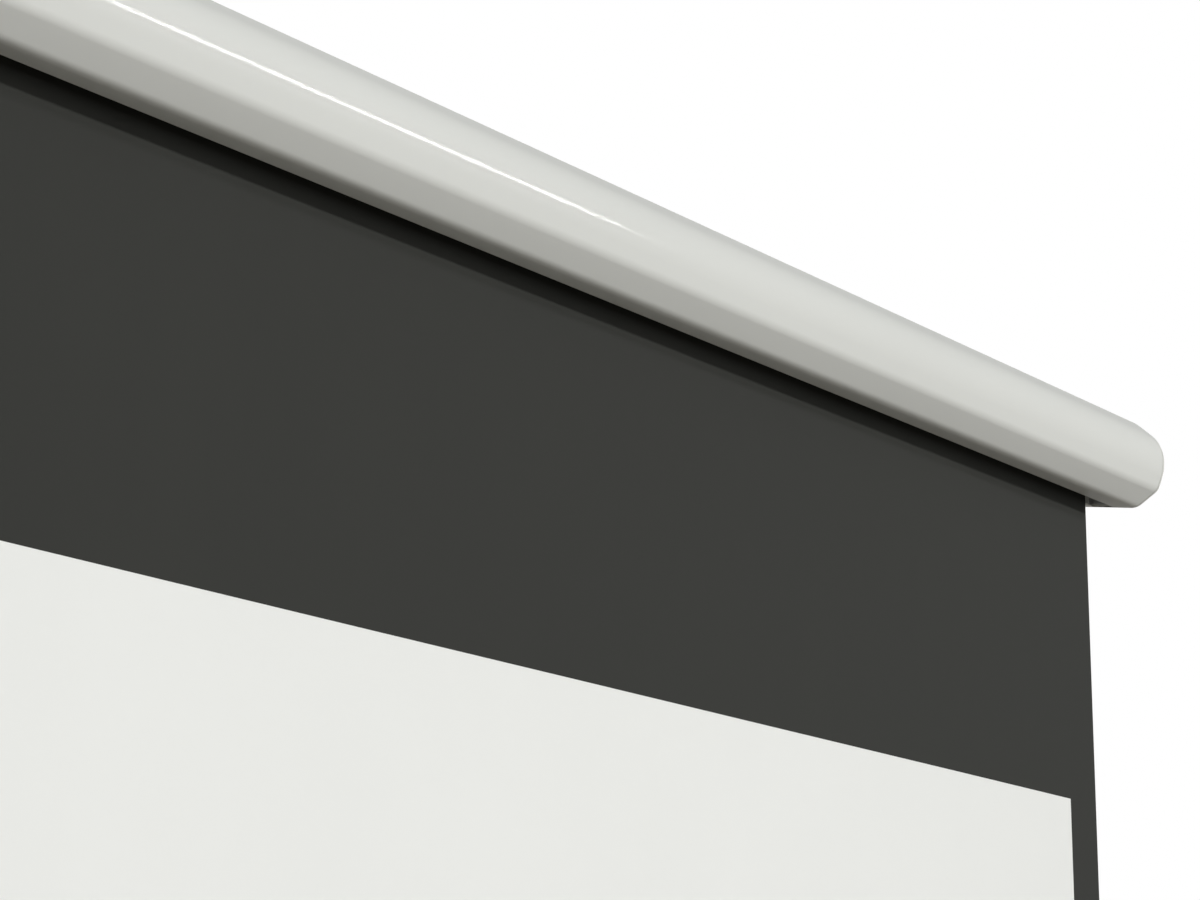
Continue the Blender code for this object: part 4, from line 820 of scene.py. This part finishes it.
def build_bar():
    """The weight bar, with the slot and channel that hold the hem, and its caps."""
    width, height = BAR_HIGH.y - BAR_LOW.y, BAR_HIGH.z - BAR_LOW.z
    corners = [
        (width / 2, height, BAR_RADIUS),
        (-width / 2, height, BAR_RADIUS),
        (-width / 2, 0, BAR_RADIUS),
        (width / 2, 0, BAR_RADIUS),
    ]
    outline = rounded(corners)
    first = len(outline) // 4
    mouth = math.asin(BAR_SLOT / 2 / BAR_CHANNEL)
    slot = [Vector((side * BAR_SLOT / 2, height)) for side in (1, -1)]
    centre = (0, height - BAR_CHANNEL_DEPTH)
    sweep = 2 * mouth - 2 * math.pi
    around = circle(centre, BAR_CHANNEL, CHANNEL_STEPS, math.pi / 2 - mouth, sweep)
    hole = circle((0, BAR_ROD_HEIGHT), BAR_ROD_HOLE)
    opened = outline[:first] + [slot[0], *around, slot[1]] + outline[first:]
    place = Vector((0, (BAR_LOW.y + BAR_HIGH.y) / 2, BAR_LOW.z))
    bar = section("weight_bar_shell", [opened, hole], BAR_LOW.x, BAR_HIGH.x, place)
    dressed(bar, "case_paint", "weight_bar", "weight_bar")
    build_bar_cap("left", BAR_LOW.x, -1, corners, place)
    build_bar_cap("right", BAR_HIGH.x, 1, corners, place)


# Fabric


def wave(x, share):
    """How far the fabric bows back, away from the roller: nothing at its top and bottom."""
    held = math.sin(math.pi * share) ** WAVE_FULLNESS
    broad = math.sin(BROAD_WAVE[0] * x + BROAD_WAVE[1])
    narrow = math.sin(NARROW_WAVE[0] * x + NARROW_WAVE[1] + NARROW_SLANT * share)
    return WAVE_HEIGHT * held * (WAVE_MIDDLE + broad + NARROW_HEIGHT * narrow)


def hung_sheet(name, low, high, front, rear):
    """A thin closed sheet between two faces, bowed a little as it hangs."""
    across, down = FABRIC_STEPS
    length = FABRIC_HIGH.z - FABRIC_LOW.z
    shape = bmesh.new()
    faces = []
    for y in (front, rear):
        rows = []
        for j in range(down + 1):
            z = low.z + (high.z - low.z) * j / down
            row = []
            for i in range(across + 1):
                x = low.x + (high.x - low.x) * i / across
                bow = wave(x, (z - FABRIC_LOW.z) / length)
                row.append(shape.verts.new((x, y + bow, z)))
            rows.append(row)
        faces.append(rows)
    for rows in faces:
        for below, above in zip(rows, rows[1:]):
            for i in range(across):
                shape.faces.new((below[i], below[i + 1], above[i + 1], above[i]))
    edges = [
        (faces[0][0], faces[1][0]),
        (faces[0][-1], faces[1][-1]),
        ([row[0] for row in faces[0]], [row[0] for row in faces[1]]),
        ([row[-1] for row in faces[0]], [row[-1] for row in faces[1]]),
    ]
    for near, far in edges:
        for i in range(len(near) - 1):
            shape.faces.new((near[i], near[i + 1], far[i + 1], far[i]))
    return from_bmesh(name, shape)


def build_fabric():
    """The black sheet and its white picture layer, which flatten towards the roller.
    """
    front, rear = FABRIC_LOW.y, FABRIC_HIGH.y
    black = hung_sheet("black_sheet", FABRIC_LOW, FABRIC_HIGH, front, rear)
    dressed(black, "black_fabric", "case", "screen_fabric")
    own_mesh(black)
    white = hung_sheet("picture_layer", PICTURE_LOW, PICTURE_HIGH, front - COATING_PROUD, front)
    dressed(white, "white_screen", "case", "viewing_surface")
    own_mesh(white)


# Brackets


def build_bracket(side):
    """A bent steel bracket with softened edges and round screw holes."""
    low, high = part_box(f"{side}_bracket")
    middle = (low.x + high.x) / 2
    t = BRACKET_THICKNESS
    rear, top = CASE_DEPTH + FIT + t, CASE_HEIGHT + FIT + t
    hook = CASE_DEPTH - GROOVE_FROM_REAR - t / 2
    tip = CASE_HEIGHT - GROOVE_DEPTH + FIT
    lip_end = high.y - BRACKET_LIP - ON_CASE.y
    corners = [
        (rear, top, t),
        (hook, top, t),
        (hook, tip, 0),
        (hook + t, tip, 0),
        (hook + t, top - t, 0),
        (rear - t, top - t, 0),
        (rear - t, t, 0),
        (lip_end, t, 0),
        (lip_end, 0, 0),
        (rear, 0, t),
    ]
    outline = rounded(corners, BEND_STEP)
    bracket = section(f"{side}_bracket_shell", [outline], low.x, high.x)
    soften(bracket, BRACKET_EDGE)
    wall_z = ON_CASE.z + BRACKET_WALL_HOLE_W
    top_y = -BRACKET_TOP_HOLE_FROM_REAR
    cutters = []
    for x in (middle - BRACKET_HOLE_SPACING / 2, middle + BRACKET_HOLE_SPACING / 2):
        through_wall_side = (x, -2 * t, wall_z), (x, t, wall_z)
        through_top = (x, top_y, -2 * t), (x, top_y, t)
        cutters.append(rod("wall_hole", *through_wall_side, BRACKET_HOLE_RADIUS, HOLE_STEPS))
        cutters.append(rod("top_hole", *through_top, BRACKET_HOLE_RADIUS, HOLE_STEPS))
    screw_low, screw_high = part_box(f"{side}_clamp_screw")
    y = (screw_low.y + screw_high.y) / 2
    start, end = (middle, y, ON_CASE.z - t), (middle, y, ON_CASE.z + 2 * t)
    cutters.append(rod("clamp_hole", start, end, CLAMP_HOLE_RADIUS, HOLE_STEPS))
    dressed(cut(bracket, cutters), "case_paint", f"{side}_bracket", f"{side}_bracket")


# Studio


def seen_directly(tree):
    """1 for what the camera sees, straight or in a reflection, and 0 for light on a surface."""
    path = tree.nodes.new("ShaderNodeLightPath")
    seen = path.outputs["Is Camera Ray"]
    for other in ("Is Glossy Ray", "Is Transmission Ray"):
        either = tree.nodes.new("ShaderNodeMath")
        either.operation = "MAXIMUM"
        tree.links.new(seen, either.inputs[0])
        tree.links.new(path.outputs[other], either.inputs[1])
        seen = either.outputs["Value"]
    return seen


def emission_world():
    """White to the camera and in reflections, and a weaker fill on the surfaces."""
    world = bpy.data.worlds.new("studio")
    bpy.context.scene.world = world
    world.use_nodes = True
    tree = world.node_tree
    background = tree.nodes["Background"]
    background.inputs["Color"].default_value = (1, 1, 1, 1)
    strength = tree.nodes.new("ShaderNodeMapRange")
    strength.inputs["To Min"].default_value = FILL
    strength.inputs["To Max"].default_value = 1.0
    tree.links.new(seen_directly(tree), strength.inputs["Value"])
    tree.links.new(strength.outputs["Result"], background.inputs["Strength"])


def floor():
    """A pale floor, which throws less light back up than it shows."""
    shape = bmesh.new()
    half, z = FLOOR_HALF, cad_bounds[0][2] - FLOOR_BELOW
    corners = [(-half, -half, z), (half, -half, z), (half, half, z), (-half, half, z)]
    shape.faces.new([shape.verts.new(corner) for corner in corners])
    plane = from_bmesh("studio_floor", shape)
    nodes = Nodes("studio_floor", FLOOR_COLOUR)
    nodes.tint(*FLOOR_TONES, nodes.spread(nodes.noise(FLOOR_CLOUD), 0, 1))
    pale = nodes.shader.inputs["Base Color"].links[0].from_socket
    seen = seen_directly(nodes.tree)
    shown = nodes.add("ShaderNodeMix", data_type="RGBA")
    shown.inputs["A"].default_value = (*FLOOR_BOUNCE, 1)
    nodes.link(pale, shown.inputs["B"])
    nodes.link(seen, shown.inputs["Factor"])
    nodes.link(shown.outputs["Result"], nodes.shader.inputs["Base Color"])
    nodes.link(pale, nodes.shader.inputs["Emission Color"])
    glow = nodes.spread(seen, 0, FLOOR_GLOW, darkest=0, brightest=1)
    nodes.link(glow, nodes.shader.inputs["Emission Strength"])
    nodes.constants(Roughness=0.9, Specular_IOR_Level=0.0)
    plane.data.materials.append(nodes.material)


def area_light(name, place, target, width, height, power):
    """A rectangular lamp at a place, which shines at a target and isn't seen itself."""
    lamp = bpy.data.lights.new(name, "AREA")
    lamp.shape = "RECTANGLE"
    lamp.size = width
    lamp.size_y = height
    lamp.energy = power
    light = linked(name, lamp)
    light.location = place
    toward = (Vector(target) - Vector(place)).normalized()
    light.rotation_euler = toward.to_track_quat("-Z", "Y").to_euler()
    light.visible_camera = False
    return light


def sun(name, azimuth, elevation, strength, width):
    """A distant lamp, from an azimuth with 0 in front, an elevation and a width in degrees."""
    lamp = bpy.data.lights.new(name, "SUN")
    lamp.energy = strength
    lamp.angle = math.radians(width)
    light = linked(name, lamp)
    azimuth, elevation = math.radians(azimuth), math.radians(elevation)
    level = math.cos(elevation)
    source = Vector((math.sin(azimuth) * level, -math.cos(azimuth) * level, math.sin(elevation)))
    light.rotation_euler = source.to_track_quat("Z", "Y").to_euler()


def camera():
    """The camera at the photograph's viewing angle."""
    made = bpy.data.cameras.new("camera")
    made.sensor_width = CAMERA_SENSOR
    made.lens = CAMERA_LENS
    made.clip_start, made.clip_end = CAMERA_CLIP
    made.dof.use_dof = False
    seen = linked("camera", made)
    seen.location = CAMERA_PLACE
    seen.rotation_euler = Vector(CAMERA_DIRECTION).to_track_quat("-Z", "Y").to_euler()
    bpy.context.scene.camera = seen


def lamps():
    """A narrow sun in front, soft suns on the other sides, and two area lights.

    The front light adds no reflection. The strip gives only the streak along the case.
    """
    sun("key", azimuth=0, elevation=9.6, strength=1.86, width=3)
    sun("back", azimuth=180, elevation=10, strength=1.5, width=20)
    sun("left", azimuth=-90, elevation=6, strength=1.1, width=20)
    sun("right", azimuth=90, elevation=6, strength=0.6, width=20)
    front = area_light(
        "front",
        place=(0, -3.4, -0.3),
        target=(0, -0.06, -0.2),
        width=3.2,
        height=1.0,
        power=30.0,
    )
    front.visible_glossy = False
    strip = area_light(
        "strip",
        place=(2.81, -3.358, 1.0465),
        target=(2.81, -0.0864, -0.0482),
        width=3.62,
        height=0.34,
        power=580.0,
    )
    strip.visible_diffuse = False


dress_solids()
build_case()
build_ends()
build_bar()
build_fabric()
build_bracket("left")
build_bracket("right")

emission_world()
floor()
lamps()
camera()
bpy.context.scene.view_settings.view_transform = "Standard"
